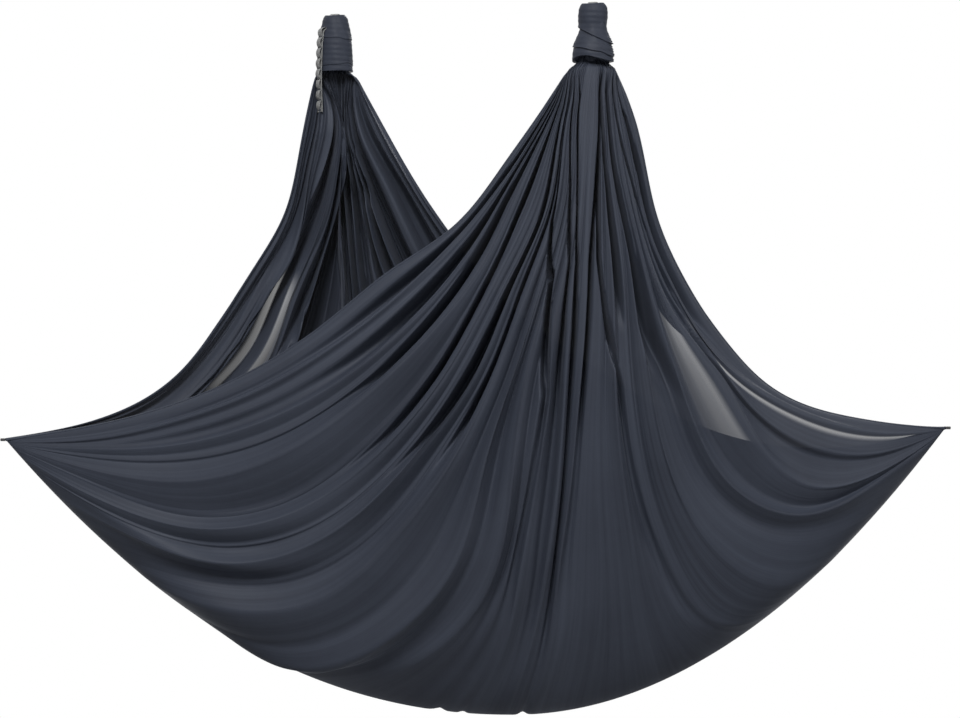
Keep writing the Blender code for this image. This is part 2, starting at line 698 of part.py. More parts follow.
def ply_normals(points, outward):
    """Unit normals of the grid, never pointing back across the plane of the bottom fold."""
    normal = np.cross(np.gradient(points, axis=1), np.gradient(points, axis=0))
    normal /= np.maximum(np.linalg.norm(normal, axis=-1, keepdims=True), SHORTEST_NORMAL)
    middle = normal[points.shape[0] // 2, points.shape[1] // 2, 1]
    normal = normal if middle * outward > 0 else -normal
    normal[..., 1] = outward * np.maximum(outward * normal[..., 1], 0.0)
    normal[0, :, 2] = 0.0
    return normal / np.maximum(np.linalg.norm(normal, axis=-1, keepdims=True), SHORTEST_NORMAL)


def closed_sheet(name, inner, outer):
    """Close two grids of points into one thin solid, split alike on both faces, with a rim."""
    rows, columns = inner.shape[:2]
    index = np.arange(rows * columns).reshape(rows, columns)
    other = index + rows * columns
    corners = [index[:-1, :-1], index[:-1, 1:], index[1:, 1:], index[1:, :-1]]
    quads = np.stack(corners, axis=-1).reshape(-1, 4)
    skin = np.concatenate([quads[:, [0, 1, 2]], quads[:, [0, 2, 3]]])
    rim = np.concatenate([index[0, :-1], index[:-1, -1], index[-1, :0:-1], index[:0:-1, 0]])
    edge = np.stack([rim, np.roll(rim, -1)], axis=-1)
    wall = np.stack([edge[:, 1], edge[:, 0], edge[:, 0] + rows * columns], axis=-1)
    wall = np.concatenate([wall, edge[:, 1:] + rows * columns], axis=-1)
    back = (skin + other[0, 0])[:, ::-1]
    mesh = bpy.data.meshes.new(name)
    points = np.concatenate([inner.reshape(-1, 3), outer.reshape(-1, 3)])
    mesh.from_pydata(points.tolist(), [], skin.tolist() + wall.tolist() + back.tolist())
    shape = bmesh.new()
    shape.from_mesh(mesh)
    bmesh.ops.recalc_face_normals(shape, faces=shape.faces)
    shape.to_mesh(mesh)
    shape.free()
    return bpy.data.objects.new(name, mesh)


def cloth_panel(shop, name, knot_x, knot_y, hem, crests, outward, arch_power):
    """One ply of the cloth with its main folds, thickened towards its outer side."""
    drop = 1 - (1 - np.linspace(0.0, 1.0, PANEL_ROWS + 1)) ** ROW_CROWDING
    knot_half = hem - CLOTH_THICKNESS
    base = ply_surface(crests, drop, knot_x, knot_y, knot_half, outward, arch_power)
    cell, way, hollow = fold_columns(crests)
    gap = np.linalg.norm(np.diff(base[:, ::COLUMNS_PER_FOLD], axis=1), axis=-1)
    before = np.concatenate([gap[:, :1], gap], axis=1)
    after = np.concatenate([gap, gap[:, -1:]], axis=1)
    spacing = 2 * before * after / np.maximum(before + after, SHORTEST_NORMAL)
    height = np.array([crest[2] for crest in crests]) * CREST_UNIT
    height = np.minimum(height, FOLD_SLENDERNESS * spacing)
    height = height[:, cell] * (1 - way) + height[:, cell + 1] * way
    down = np.minimum(way / hollow, 1.0)
    up = np.clip((way - hollow) / (1 - hollow), 0.0, 1.0)
    wave = (1 + np.cos(np.pi * down)) / 2 + (1 - np.cos(np.pi * up)) / 2
    calm = 1 - drop[:, None] ** CALM_POWER
    inner = base + ply_normals(base, outward) * (height * calm * wave)[..., None]
    outer = inner + ply_normals(inner, outward) * CLOTH_THICKNESS
    panel = closed_sheet(name, inner, outer)
    panel.data.shade_smooth()
    return shop.piece(panel, CLOTH)


def knot_assembly(shop, side, location, tail_length, tail_bearing):
    """Everything at one end, built round its hook seat and turned to the hanging line."""
    frame = bpy.data.objects.new(f"{side}_hang_point", None)
    shop.cutters.objects.link(frame)
    frame.location = location
    frame.rotation_euler = (0.0, 0.0, -HANG_TURN)
    strap_eye(shop, side, frame)
    carabiner_frame(shop, side, frame)
    carabiner_gate(shop, side, frame)
    gate_pin(shop, side, frame)
    lock_sleeve(shop, side, frame)
    cloth_bight(shop, side, frame)
    knot_cover(shop, side, frame)
    strap_tail(shop, side, tail_length, tail_bearing, frame)


def build():
    """Build the whole hammock."""
    clear_scene()
    shop = Workshop()
    left_point = Vector((-HANG_SPAN * math.cos(HANG_TURN), HANG_SPAN * math.sin(HANG_TURN), 0.0))
    knot_assembly(shop, "left", left_point, LEFT_TAIL_LENGTH, LEFT_TAIL_BEARING)
    knot_assembly(shop, "right", Vector(), RIGHT_TAIL_LENGTH, RIGHT_TAIL_BEARING)
    front = (RIGHT_HEM, FRONT_CRESTS, -1.0, FRONT_ARCH_POWER)
    rear = (LEFT_HEM, REAR_CRESTS, 1.0, REAR_ARCH_POWER)
    cloth_panel(shop, "front_panel", 0.0, 0.0, *front)
    cloth_panel(shop, "rear_panel", left_point.x, left_point.y, *rear)
    edge_clip(shop, "left", LEFT_TIP_X, LEFT_TIP_Z, -1.0)
    edge_clip(shop, "right", RIGHT_TIP_X, RIGHT_TIP_Z, 1.0)


build()
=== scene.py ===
"""Aerial yoga hammock, dressed.

One wide sheer cloth hangs from two wrapped knots, its long edges pulled out to two
tips. Lengths are metres, +Z up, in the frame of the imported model: the origin is the
seat of the right ceiling hook, +X runs to the right and +Y away from the viewer.
"""

import logging
import math
from dataclasses import dataclass
from enum import Enum

import bmesh
import bpy
import numpy as np
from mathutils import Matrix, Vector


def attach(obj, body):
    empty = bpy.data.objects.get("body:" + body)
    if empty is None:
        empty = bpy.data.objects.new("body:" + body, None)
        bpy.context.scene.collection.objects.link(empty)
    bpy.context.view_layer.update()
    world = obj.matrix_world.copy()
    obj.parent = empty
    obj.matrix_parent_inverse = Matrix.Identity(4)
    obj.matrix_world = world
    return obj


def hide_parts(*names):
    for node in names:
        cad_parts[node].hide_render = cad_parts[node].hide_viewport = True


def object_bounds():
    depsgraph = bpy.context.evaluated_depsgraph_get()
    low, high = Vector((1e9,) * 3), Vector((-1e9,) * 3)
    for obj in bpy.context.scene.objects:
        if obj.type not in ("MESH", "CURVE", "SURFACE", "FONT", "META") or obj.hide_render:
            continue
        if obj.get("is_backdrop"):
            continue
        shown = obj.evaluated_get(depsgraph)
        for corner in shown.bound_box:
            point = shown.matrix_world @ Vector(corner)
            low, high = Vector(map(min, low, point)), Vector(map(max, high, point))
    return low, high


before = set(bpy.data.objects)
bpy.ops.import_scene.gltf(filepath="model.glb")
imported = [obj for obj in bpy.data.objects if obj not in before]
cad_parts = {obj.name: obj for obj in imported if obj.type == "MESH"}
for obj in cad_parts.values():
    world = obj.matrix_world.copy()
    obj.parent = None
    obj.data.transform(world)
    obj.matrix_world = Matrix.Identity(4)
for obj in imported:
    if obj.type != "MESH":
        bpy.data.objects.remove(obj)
CAD_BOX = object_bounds()
LOG = logging.getLogger("hammock")


class Side(Enum):
    """Which end of the hammock a piece belongs to."""

    LEFT = "left"
    RIGHT = "right"


class Ply(Enum):
    """Which way a ply faces; the value is its outward direction along Y."""

    FRONT = -1.0
    REAR = 1.0


# The two hanging points, the knots below them and the outline of the bottom fold.
HANG_SPAN = 0.667
HANG_TURN = math.radians(18.4)
LEFT_POINT = (-HANG_SPAN * math.cos(HANG_TURN), HANG_SPAN * math.sin(HANG_TURN), 0.0)
SEATS = {Side.LEFT: np.array(LEFT_POINT), Side.RIGHT: np.zeros(3)}
KNOT_HEIGHT = 0.142
LEFT_TIP = (-1.436, -1.055)
RIGHT_TIP = (0.870, -1.026)
LOW_POINT = (-0.190, -1.730)
LEFT_BOW, RIGHT_BOW = 2.15, 2.0
FOLD_NICKS = ((-0.373, 0.008, 0.013), (-0.314, 0.005, 0.008), (-0.168, 0.008, 0.010))
# Depths below the seat: rows of a knot's hollow, and the corners where it changes width.
HOLLOW_ROWS = (0.1416, 0.130, 0.112, 0.0925, 0.0885, 0.066, 0.0435, 0.0395, 0.02, 0.0042)
HOLLOW_CORNERS = (0.02, 0.0395, 0.0435, 0.0885, 0.0925)
# Shares of the way down where the crests and the tucks are given, and the flat cloth.
STATIONS = (0.08, 0.17, 0.28, 0.40, 0.52, 0.64, 0.76, 0.88)
TUCK_FALLS = (0.0, 0.05, 0.10, 0.20, 0.30, 0.40, 0.50, 0.70, 0.90)
CLOTH_WIDTH = 2.8
PLY_LENGTH = 1.65
BODY = "hammock"


# ---------------------------------------------------------------- curves and meshes


def ramp(low: float, high: float, value: np.ndarray) -> np.ndarray:
    """Rise smoothly from 0 at low to 1 at high: 3t^2 - 2t^3.

    Args:
        low: Where the rise starts.
        high: Where it ends.
        value: Where to read it.

    Returns:
        The height of the rise, shaped as value.
    """
    share = np.clip((value - low) / (high - low), 0.0, 1.0)
    return share * share * (3.0 - 2.0 * share)


def bump(low: float, high: float, soft: float, value: np.ndarray) -> np.ndarray:
    """Plateau of height 1 between low and high, with smooth shoulders soft wide."""
    return ramp(low - soft, low + soft, value) * (1.0 - ramp(high - soft, high + soft, value))


def spline_through(knots: np.ndarray, values: np.ndarray, at: np.ndarray) -> np.ndarray:
    """Natural cubic spline through rows of values.

    The second derivatives M solve h0 M0 + 2 (h0 + h1) M1 + h1 M2 = 6 (slope1 - slope0)
    at each inner knot and are zero at the ends.

    Args:
        knots: Rising places of the rows, shape (n,).
        values: The rows, shape (n, ...).
        at: Places to read, shape (m,).

    Returns:
        The values there, shape (m, ...).
    """
    count = len(knots)
    step = np.diff(knots)
    flat = values.reshape(count, -1)
    slope = np.diff(flat, axis=0) / step[:, None]
    matrix = np.eye(count)
    inner = np.arange(1, count - 1)
    matrix[inner, inner - 1] = step[:-1]
    matrix[inner, inner] = 2.0 * (step[:-1] + step[1:])
    matrix[inner, inner + 1] = step[1:]
    right = np.zeros_like(flat)
    right[1:-1] = 6.0 * np.diff(slope, axis=0)
    bend = np.linalg.solve(matrix, right)
    cell = np.clip(np.searchsorted(knots, at, side="right") - 1, 0, count - 2)
    width = step[cell][:, None]
    after = (at - knots[cell])[:, None] / width
    before = 1.0 - after
    curved = (before**3 - before) * bend[cell] + (after**3 - after) * bend[cell + 1]
    line = before * flat[cell] + after * flat[cell + 1]
    return (line + curved * width**2 / 6.0).reshape(len(at), *values.shape[1:])


def unit(vectors: np.ndarray) -> np.ndarray:
    """Scale vectors to length 1, leaving zero ones alone."""
    return vectors / np.maximum(np.linalg.norm(vectors, axis=-1, keepdims=True), 1e-9)


def towards(vectors: np.ndarray, way: np.ndarray) -> np.ndarray:
    """Turn round the vectors that point away from the given way."""
    return vectors * np.sign((vectors * way).sum(-1, keepdims=True))


def wander(first: np.ndarray, second: np.ndarray, seed: int, waves: int = 6) -> np.ndarray:
    """Smooth, repeatable unevenness: a mean of sines of two coordinates, about -1 to 1."""
    dice = np.random.default_rng(seed)
    total = np.zeros(np.broadcast(first, second).shape)
    for _ in range(waves):
        across, down, start = dice.uniform(0.6, 3.0), dice.uniform(0.6, 3.0), dice.uniform(0, 6.3)
        total = total + np.sin(across * first + down * second + start)
    return total * math.sqrt(2.0 / waves) / 1.5


def sheet_object(
    name: str,
    points: np.ndarray,
    u_edges: np.ndarray,
    v_edges: np.ndarray,
) -> bpy.types.Object:
    """Join a grid of points into quads, with a UV map in metres of the unrolled piece.

    A direction with as many points as edges closes on itself; with one point fewer
    edges it stays open, so the UV edges say how the grid is joined.

    Args:
        name: The piece's name.
        points: Grid of points, shape (rows, columns, 3).
        u_edges: U at each column line, one per column, plus one where it closes.
        v_edges: V at each row line, one per row, plus one where it closes.

    Returns:
        The new object, at the origin.
    """
    rows, columns = points.shape[:2]
    down, across = np.arange(len(v_edges) - 1), np.arange(len(u_edges) - 1)
    row, column = np.meshgrid(down, across, indexing="ij")
    loop_row = np.stack([row, row + 1, row + 1, row], axis=-1).reshape(-1, 4)
    loop_column = np.stack([column, column, column + 1, column + 1], axis=-1).reshape(-1, 4)
    faces = (loop_row % rows) * columns + loop_column % columns
    mesh = bpy.data.meshes.new(name)
    mesh.from_pydata(points.reshape(-1, 3).tolist(), [], faces.tolist())
    layer = mesh.uv_layers.new(name="unrolled")
    uv = np.stack([u_edges[loop_column], v_edges[loop_row]], axis=-1)
    layer.data.foreach_set("uv", uv.astype(np.float32).ravel())
    mesh.shade_smooth()
    return linked(name, mesh)


def linked(name: str, data: bpy.types.ID) -> bpy.types.Object:
    """Put a mesh, a camera or a lamp into the scene as an object."""
    item = bpy.data.objects.new(name, data)
    bpy.context.scene.collection.objects.link(item)
    return item


def mark(item: bpy.types.Object, name: str, values: np.ndarray) -> None:
    """Keep one number per vertex as a named attribute for the material."""
    layer = item.data.attributes.new(name, "FLOAT", "POINT")
    layer.data.foreach_set("value", values.astype(np.float32).ravel())


def swept(
    name: str,
    path: np.ndarray,
    across: np.ndarray,
    outward: np.ndarray,
    profile: np.ndarray,
    closed: bool = False,
) -> bpy.types.Object:
    """Carry a closed profile along a path: point = path + across * p0 + outward * p1.

    Args:
        name: The piece's name.
        path: Points of the path, shape (n, 3).
        across: Unit vectors across the path, shape (n, 3).
        outward: Unit vectors out of it, shape (n, 3).
        profile: Outline in metres, shape (m, 2) or (n, m, 2).
        closed: Whether the path's last point joins its first.

    Returns:
        The new object; an open path's ends are drawn in to a point.
    """
    outline = np.broadcast_to(profile, (len(path), *profile.shape[-2:]))
    body = path[:, None] + across[:, None] * outline[..., :1] + outward[:, None] * outline[..., 1:]
    if not closed:
        body = np.concatenate([drawn_in(body[:1]), body, drawn_in(body[-1:])])
    rows, columns = body.shape[:2]
    length = np.linalg.norm(np.diff(path, axis=0), axis=1).sum()
    girth = np.linalg.norm(np.diff(outline[0], axis=0), axis=1).sum()
    around = np.linspace(0.0, girth, columns + 1)
    item = sheet_object(name, body, around, np.linspace(0.0, length, rows + closed))
    tidy(item)
    return item


def drawn_in(row: np.ndarray) -> np.ndarray:
    """Draw a row of points, shape (1, columns, 3), in to its middle."""
    return np.repeat(row.mean(axis=1, keepdims=True), row.shape[1], axis=1)


def tidy(item: bpy.types.Object) -> None:
    """Weld doubled points and turn the faces outwards."""
    shape = bmesh.new()
    shape.from_mesh(item.data)
    bmesh.ops.remove_doubles(shape, verts=shape.verts, dist=1e-6)
    bmesh.ops.recalc_face_normals(shape, faces=shape.faces)
    shape.to_mesh(item.data)
    shape.free()


def flat_band(width: float, thickness: float, points: int = 20) -> np.ndarray:
    """Outline of a flat band with rounded edges: a superellipse of power 6 and 2.4."""
    turn = np.linspace(0.0, 2.0 * np.pi, points, endpoint=False)
    across = np.sign(np.cos(turn)) * np.abs(np.cos(turn)) ** (2 / 6.0) * width / 2
    up = np.sign(np.sin(turn)) * np.abs(np.sin(turn)) ** (2 / 2.4) * thickness / 2
    return np.stack([across, up], axis=-1)


def ring(radius: float, points: int = 12) -> np.ndarray:
    """Outline of a round cord."""
    turn = np.linspace(0.0, 2.0 * np.pi, points, endpoint=False)
    return radius * np.stack([np.cos(turn), np.sin(turn)], axis=-1)


def hung(side: Side, local: np.ndarray) -> np.ndarray:
    """Turn points of a knot's own frame to the hanging line and move them to its seat."""
    cosine, sine = math.cos(-HANG_TURN), math.sin(-HANG_TURN)
    turn = np.array([[cosine, -sine, 0.0], [sine, cosine, 0.0], [0.0, 0.0, 1.0]])
    return local @ turn.T + SEATS[side]


def joined(name: str, parts: list[bpy.types.Object]) -> bpy.types.Object:
    """Join several pieces into one mesh and keep their UV maps."""
    shape = bmesh.new()
    for part in parts:
        shape.from_mesh(part.data)
        bpy.data.objects.remove(part)
    mesh = bpy.data.meshes.new(name)
    shape.to_mesh(mesh)
    shape.free()
    mesh.shade_smooth()
    return linked(name, mesh)


# ---------------------------------------------------------------- the cloth


@dataclass(frozen=True)
class Fold:
    """One crest of the cloth, from the knot down to the bottom fold.

    Attributes:
        line: Place across the gathered cloth, 0 at its left edge and 1 at its right.
        share: Place where it ends along the bottom fold, 0 at the left tip.
        slender: Height over spacing, low down where the cloth is spread.
        depth: Greatest height of the crest.
        hollow: Place of the hollow on the way to the next crest, 0 to 1.
        packed: How deep it is gathered under the knot, 0 to 1.
        across: X of its points at the eight STATIONS, in millimetres.
        up: Z of those points, in millimetres.
    """

    line: float
    share: float
    slender: float
    depth: float
    hollow: float
    packed: float
    across: tuple[int, ...]
    up: tuple[int, ...]


@dataclass(frozen=True)
class Tuck:
    """Cloth tucked in under the knot: a deep crease outside, a ridge inside.

    Attributes:
        depth: How far it goes in under the knot.
        low: How far it goes in low down.
        width: Half its width, in folds.
        last: Fall at which it has opened out.
        places: Folds, counted from the left edge, that it passes at the TUCK_FALLS; the
            last one holds from there down.
    """

    depth: float
    low: float
    width: float
    last: float
    places: tuple[float, ...]

    def push(self, fall: np.ndarray, place: np.ndarray) -> np.ndarray:
        """How far it goes in: depth times exp(-t^4), t the way off its line over its width.

        The depth rises within a fall of 0.12, goes over to its low depth on the way from
        0.35 to 0.60, and fades over the last quarter.
        """
        line = np.interp(fall, TUCK_FALLS[: len(self.places)], self.places)
        deep = self.depth * ramp(0.0, 0.12, fall)
        deep = deep + (self.low - self.depth) * ramp(0.35, 0.60, fall)
        deep = deep * (1.0 - ramp(0.75 * self.last, self.last, fall))
        return deep * np.exp(-(((place - line) / self.width) ** 4))


@dataclass(frozen=True)
class ThinZone:
    """A stretch of cloth that lets the light through.

    Attributes:
        first: Fold, counted from the left edge, where it begins.
        last: Fold where it ends.
        top: Fall, 0 at the knot and 1 at the bottom fold, where it begins.
        bottom: Fall where it ends.
        soft: Widths of its left and right shoulders, in folds.
        covers: How much it covers at its top and at its bottom.
    """

    first: float
    last: float
    top: float
    bottom: float
    soft: tuple[float, float]
    covers: tuple[float, float]

    def blend(self, fall: np.ndarray, place: np.ndarray) -> tuple[np.ndarray, np.ndarray]:
        """How far the zone counts at each point, and how much it covers there.

        The cover goes from its top value to its bottom one with the power 0.6 of the way.
        """
        across = ramp(self.first - self.soft[0], self.first + self.soft[0], place)
        across = across * (1.0 - ramp(self.last - self.soft[1], self.last + self.soft[1], place))
        down = bump(self.top, self.bottom, 0.03, fall)
        part = np.clip((fall - self.top) / (self.bottom - self.top), 0.0, 1.0)
        return across * down, self.covers[0] + (self.covers[1] - self.covers[0]) * part**0.6


FRONT_FOLDS = (
    Fold(0, 0, 0.9, 0.012, 0.5, 1, (-124, -214, -332, -500, -659, -836, -1027, -1230),
         (-259, -387, -536, -659, -792, -902, -982, -1028)),
    Fold(0.035, 0.0031, 0.7, 0.014, 0.2, 1, (-116, -199, -317, -467, -633, -816, -1014, -1220),
         (-266, -401, -554, -702, -832, -938, -1010, -1055)),
    Fold(0.07, 0.004, 0.6, 0.014, 0.6, 1, (-112, -193, -293, -430, -595, -786, -994, -1212),
         (-273, -415, -588, -756, -898, -1003, -1063, -1078)),
    Fold(0.1, 0.005, 0.6, 0.008, 0.12, 0.6, (-107, -182, -279, -415, -579, -769, -985, -1207),
         (-278, -427, -607, -782, -932, -1046, -1099, -1097)),
    Fold(0.13, 0.0059, 0.65, 0.044, 0.86, 1, (-104, -176, -261, -401, -569, -761, -979, -1206),
         (-283, -439, -629, -810, -965, -1089, -1150, -1130)),
    Fold(0.17, 0.009, 0.3, 0.003, 0.12, 0.7, (-98, -160, -255, -379, -535, -730, -967, -1197),
         (-294, -464, -664, -871, -1055, -1195, -1235, -1167)),
    Fold(0.2, 0.0179, 0.5, 0.026, 0.82, 1, (-89, -138, -235, -355, -511, -711, -949, -1185),
         (-299, -476, -678, -892, -1080, -1220, -1265, -1203)),
    Fold(0.23, 0.0304, 0.3, 0.003, 0.12, 0.5, (-84, -124, -219, -335, -485, -681, -924, -1162),
         (-302, -485, -692, -912, -1111, -1262, -1306, -1235)),
    Fold(0.26, 0.0646, 0.55, 0.032, 0.86, 1, (-76, -109, -196, -293, -442, -625, -855, -1092),
         (-301, -482, -689, -914, -1109, -1271, -1344, -1291)),
    Fold(0.29, 0.1385, 0.3, 0.003, 0.12, 0.8, (-69, -96, -167, -252, -372, -515, -712, -941),
         (-293, -465, -665, -881, -1079, -1262, -1379, -1386)),
    Fold(0.32, 0.1664, 0.65, 0.052, 0.62, 1, (-65, -87, -151, -234, -339, -481, -659, -887),
         (-293, -467, -670, -888, -1096, -1280, -1426, -1453)),
    Fold(0.37, 0.256, 0.65, 0.044, 0.45, 0.7, (-54, -70, -122, -189, -263, -329, -478, -687),
         (-293, -466, -671, -892, -1111, -1332, -1508, -1596)),
    Fold(0.41, 0.3721, 0.5, 0.034, 0.5, 1, (-44, -54, -89, -144, -185, -209, -275, -428),
         (-279, -436, -625, -827, -1033, -1241, -1438, -1580)),
    Fold(0.45, 0.4809, 0.5, 0.024, 0.5, 0.12, (-31, -38, -57, -95, -127, -156, -187, -226),
         (-271, -417, -594, -785, -978, -1170, -1363, -1554)),
    Fold(0.49, 0.5191, 0.5, 0.022, 0.5, 0.1, (-17, -25, -40, -61, -75, -89, -113, -152),
         (-270, -415, -591, -782, -974, -1167, -1358, -1547)),
    Fold(0.53, 0.5414, 0.45, 0.016, 0.4, 0.12, (2, -8, -15, -23, -41, -59, -81, -104),
         (-271, -414, -589, -781, -972, -1162, -1353, -1543)),
    Fold(0.58, 0.5886, 0.22, 0.008, 0.5, 1, (15, 15, 14, 12, 7, 4, 10, 7),
         (-269, -410, -583, -771, -960, -1148, -1336, -1525)),
    Fold(0.63, 0.6636, 0.4, 0.030, 0.35, 0.8, (24, 28, 36, 43, 44, 60, 90, 123),
         (-264, -401, -567, -749, -931, -1113, -1292, -1471)),
    Fold(0.69, 0.7833, 0.3, 0.003, 0.08, 1, (34, 42, 65, 79, 95, 128, 188, 298),
         (-270, -413, -587, -777, -968, -1156, -1337, -1490)),
    Fold(0.76, 0.8534, 0.65, 0.050, 0.64, 0.7, (43, 55, 86, 109, 135, 183, 282, 438),
         (-269, -411, -581, -769, -957, -1140, -1301, -1396)),
    Fold(0.82, 0.991, 0.5, 0.034, 0.27, 1, (53, 73, 113, 164, 228, 326, 505, 688),
         (-276, -424, -603, -797, -986, -1159, -1232, -1155)),
    Fold(0.87, 0.9955, 0.55, 0.032, 0.82, 0.6, (60, 81, 117, 180, 285, 385, 526, 704),
         (-266, -403, -569, -743, -896, -1052, -1165, -1132)),
    Fold(0.91, 0.9968, 0.5, 0.022, 0.7, 1, (66, 88, 119, 178, 271, 384, 530, 700),
         (-257, -385, -541, -703, -849, -980, -1071, -1087)),
    Fold(0.95, 0.9976, 0.6, 0.014, 0.6, 1, (72, 97, 125, 182, 265, 388, 539, 700),
         (-251, -373, -523, -678, -822, -931, -1000, -1036)),
    Fold(1, 1, 0.6, 0.012, 0.6, 1, (90, 122, 152, 211, 294, 403, 548, 707),
         (-243, -361, -507, -657, -796, -917, -989, -1019)),
)
REAR_FOLDS = (
    Fold(0, 0, 0.5, 0.014, 0.4, 0.6, (-700, -722, -754, -826, -907, -1003, -1131, -1281),
         (-245, -361, -500, -640, -774, -898, -985, -1029)),
    Fold(0.05, 0.0035, 0.5, 0.014, 0.4, 0.4, (-686, -711, -743, -816, -897, -995, -1121, -1274),
         (-248, -364, -504, -644, -780, -904, -996, -1035)),
    Fold(0.1, 0.0047, 0.6, 0.02, 0.4, 1, (-673, -697, -734, -806, -884, -983, -1112, -1267),
         (-250, -368, -510, -654, -795, -921, -1015, -1055)),
    Fold(0.16, 0.0065, 0.4, 0.012, 0.45, 0.4, (-642, -664, -724, -795, -861, -969, -1102, -1259),
         (-247, -369, -508, -658, -809, -935, -1034, -1081)),
    Fold(0.21, 0.0097, 0.4, 0.012, 0.45, 0.5, (-635, -653, -700, -778, -851, -965, -1092, -1253),
         (-250, -377, -526, -678, -832, -958, -1071, -1116)),
    Fold(0.26, 0.0179, 0.45, 0.018, 0.5, 0.7, (-631, -640, -684, -759, -825, -942, -1071, -1238),
         (-256, -388, -543, -702, -865, -997, -1117, -1154)),
    Fold(0.31, 0.0398, 0.8, 0.026, 0.5, 1, (-629, -634, -672, -728, -794, -905, -1029, -1196),
         (-259, -393, -552, -723, -889, -1030, -1160, -1204)),
    Fold(0.36, 0.0815, 0.9, 0.026, 0.5, 1, (-627, -629, -658, -703, -764, -850, -957, -1111),
         (-259, -392, -552, -724, -890, -1045, -1187, -1265)),
    Fold(0.4, 0.1653, 0.9, 0.026, 0.5, 1, (-626, -626, -640, -679, -726, -786, -864, -965),
         (-253, -379, -532, -695, -856, -1013, -1162, -1295)),
    Fold(0.44, 0.2451, 0.9, 0.026, 0.5, 0.9, (-622, -622, -622, -629, -660, -704, -766, -848),
         (-256, -384, -542, -713, -882, -1048, -1208, -1359)),
    Fold(0.48, 0.3169, 0.9, 0.026, 0.5, 1, (-620, -614, -607, -600, -613, -638, -675, -721),
         (-260, -393, -556, -734, -911, -1087, -1261, -1432)),
    Fold(0.52, 0.3765, 0.9, 0.026, 0.5, 1, (-615, -606, -590, -579, -575, -579, -591, -609),
         (-264, -402, -569, -752, -935, -1119, -1302, -1485)),
    Fold(0.57, 0.4346, 0.9, 0.026, 0.5, 0.9, (-610, -591, -571, -550, -518, -491, -475, -463),
         (-268, -409, -581, -769, -955, -1142, -1331, -1520)),
    Fold(0.62, 0.4879, 0.9, 0.026, 0.5, 1, (-601, -575, -537, -488, -428, -377, -340, -311),
         (-272, -415, -589, -777, -962, -1150, -1340, -1533)),
    Fold(0.67, 0.5414, 0.9, 0.026, 0.5, 0.8, (-596, -561, -513, -437, -350, -274, -214, -173),
         (-275, -421, -597, -781, -961, -1145, -1336, -1531)),
    Fold(0.72, 0.604, 0.9, 0.026, 0.5, 1, (-591, -548, -484, -397, -293, -195, -116, -43),
         (-277, -423, -598, -781, -955, -1133, -1320, -1510)),
    Fold(0.77, 0.6636, 0.9, 0.026, 0.5, 1, (-585, -535, -457, -362, -249, -136, -31, 72),
         (-279, -423, -594, -775, -946, -1117, -1293, -1470)),
    Fold(0.84, 0.7615, 0.5, 0.026, 0.5, 0.3, (-571, -506, -422, -308, -172, -29, 112, 259),
         (-277, -418, -588, -761, -916, -1067, -1218, -1364)),
    Fold(0.9, 0.8589, 0.3, 0.014, 0.5, 0.2, (-546, -466, -373, -252, -101, 63, 233, 413),
         (-276, -412, -581, -754, -900, -1033, -1157, -1267)),
    Fold(0.95, 0.9896, 0.5, 0.014, 0.5, 0.8, (-526, -438, -323, -173, 9, 205, 417, 645),
         (-282, -429, -605, -777, -916, -1036, -1119, -1136)),
    Fold(1, 1, 0.5, 0.014, 0.5, 0.8, (-515, -429, -308, -159, 19, 213, 428, 652),
         (-273, -418, -585, -753, -890, -1002, -1069, -1078)),
)

FRONT_TUCKS = (
    Tuck(0.041, 0.010, 0.18, 0.90, (1.2, 1.1, 0.95, 0.7, 0.65, 0.7, 0.75)),
    Tuck(0.068, 0.012, 0.20, 0.90, (2.4, 2.3, 2.1, 1.8, 1.7, 1.7, 1.75)),
    Tuck(0.074, 0.000, 0.30, 0.60, (3.6, 3.4, 3.2, 2.9, 3, 3.25, 3.4)),
    Tuck(0.081, 0.000, 0.20, 0.65, (4.7, 4.85, 4.95, 4.9, 5.2, 5.4, 5.45)),
    Tuck(0.081, 0.000, 0.26, 0.60, (6.6, 6.9, 7.2, 7.6, 7.7, 7.6)),
    Tuck(0.081, 0.000, 0.20, 0.60, (8, 8.4, 8.8, 9.2, 9.2, 9.4, 9.5)),
    Tuck(0.088, 0.022, 0.15, 0.95, (8.6, 9, 9.4, 10, 11.9, 12.6, 13.1, 12.95, 12.9)),
    Tuck(0.074, 0.020, 0.15, 0.95, (9.6, 10.6, 11.2, 12.1, 13.2, 13.6, 13.7, 13.7, 13.8)),
    Tuck(0.095, 0.022, 0.15, 0.97, (10.4, 12.3, 12.7, 13.1, 14.1, 14.35, 14.4, 14.5, 14.7)),
    Tuck(0.088, 0.016, 0.14, 0.95, (15.9, 15.9, 15.85, 15.6, 15.25, 15.2, 15.2, 15.15, 15.1)),
    Tuck(0.081, 0.014, 0.15, 0.95, (16.3, 16.25, 16.1, 15.8, 15.9, 16.5, 17.3, 17.5, 17.8)),
    Tuck(0.074, 0.000, 0.28, 0.42, (16.4, 16.3, 16.6, 17.2, 17.4, 17.5, 17.6)),
    Tuck(0.081, 0.000, 0.34, 0.55, (17.8, 18, 18.3, 18.9, 19.1, 19.2, 19.6)),
    Tuck(0.081, 0.000, 0.20, 0.60, (18.8, 19.9, 20.5, 21.7, 22.7, 22.6, 21.9)),
    Tuck(0.061, 0.000, 0.20, 0.55, (21.5, 22.3, 23, 23.4, 23.5)),
)
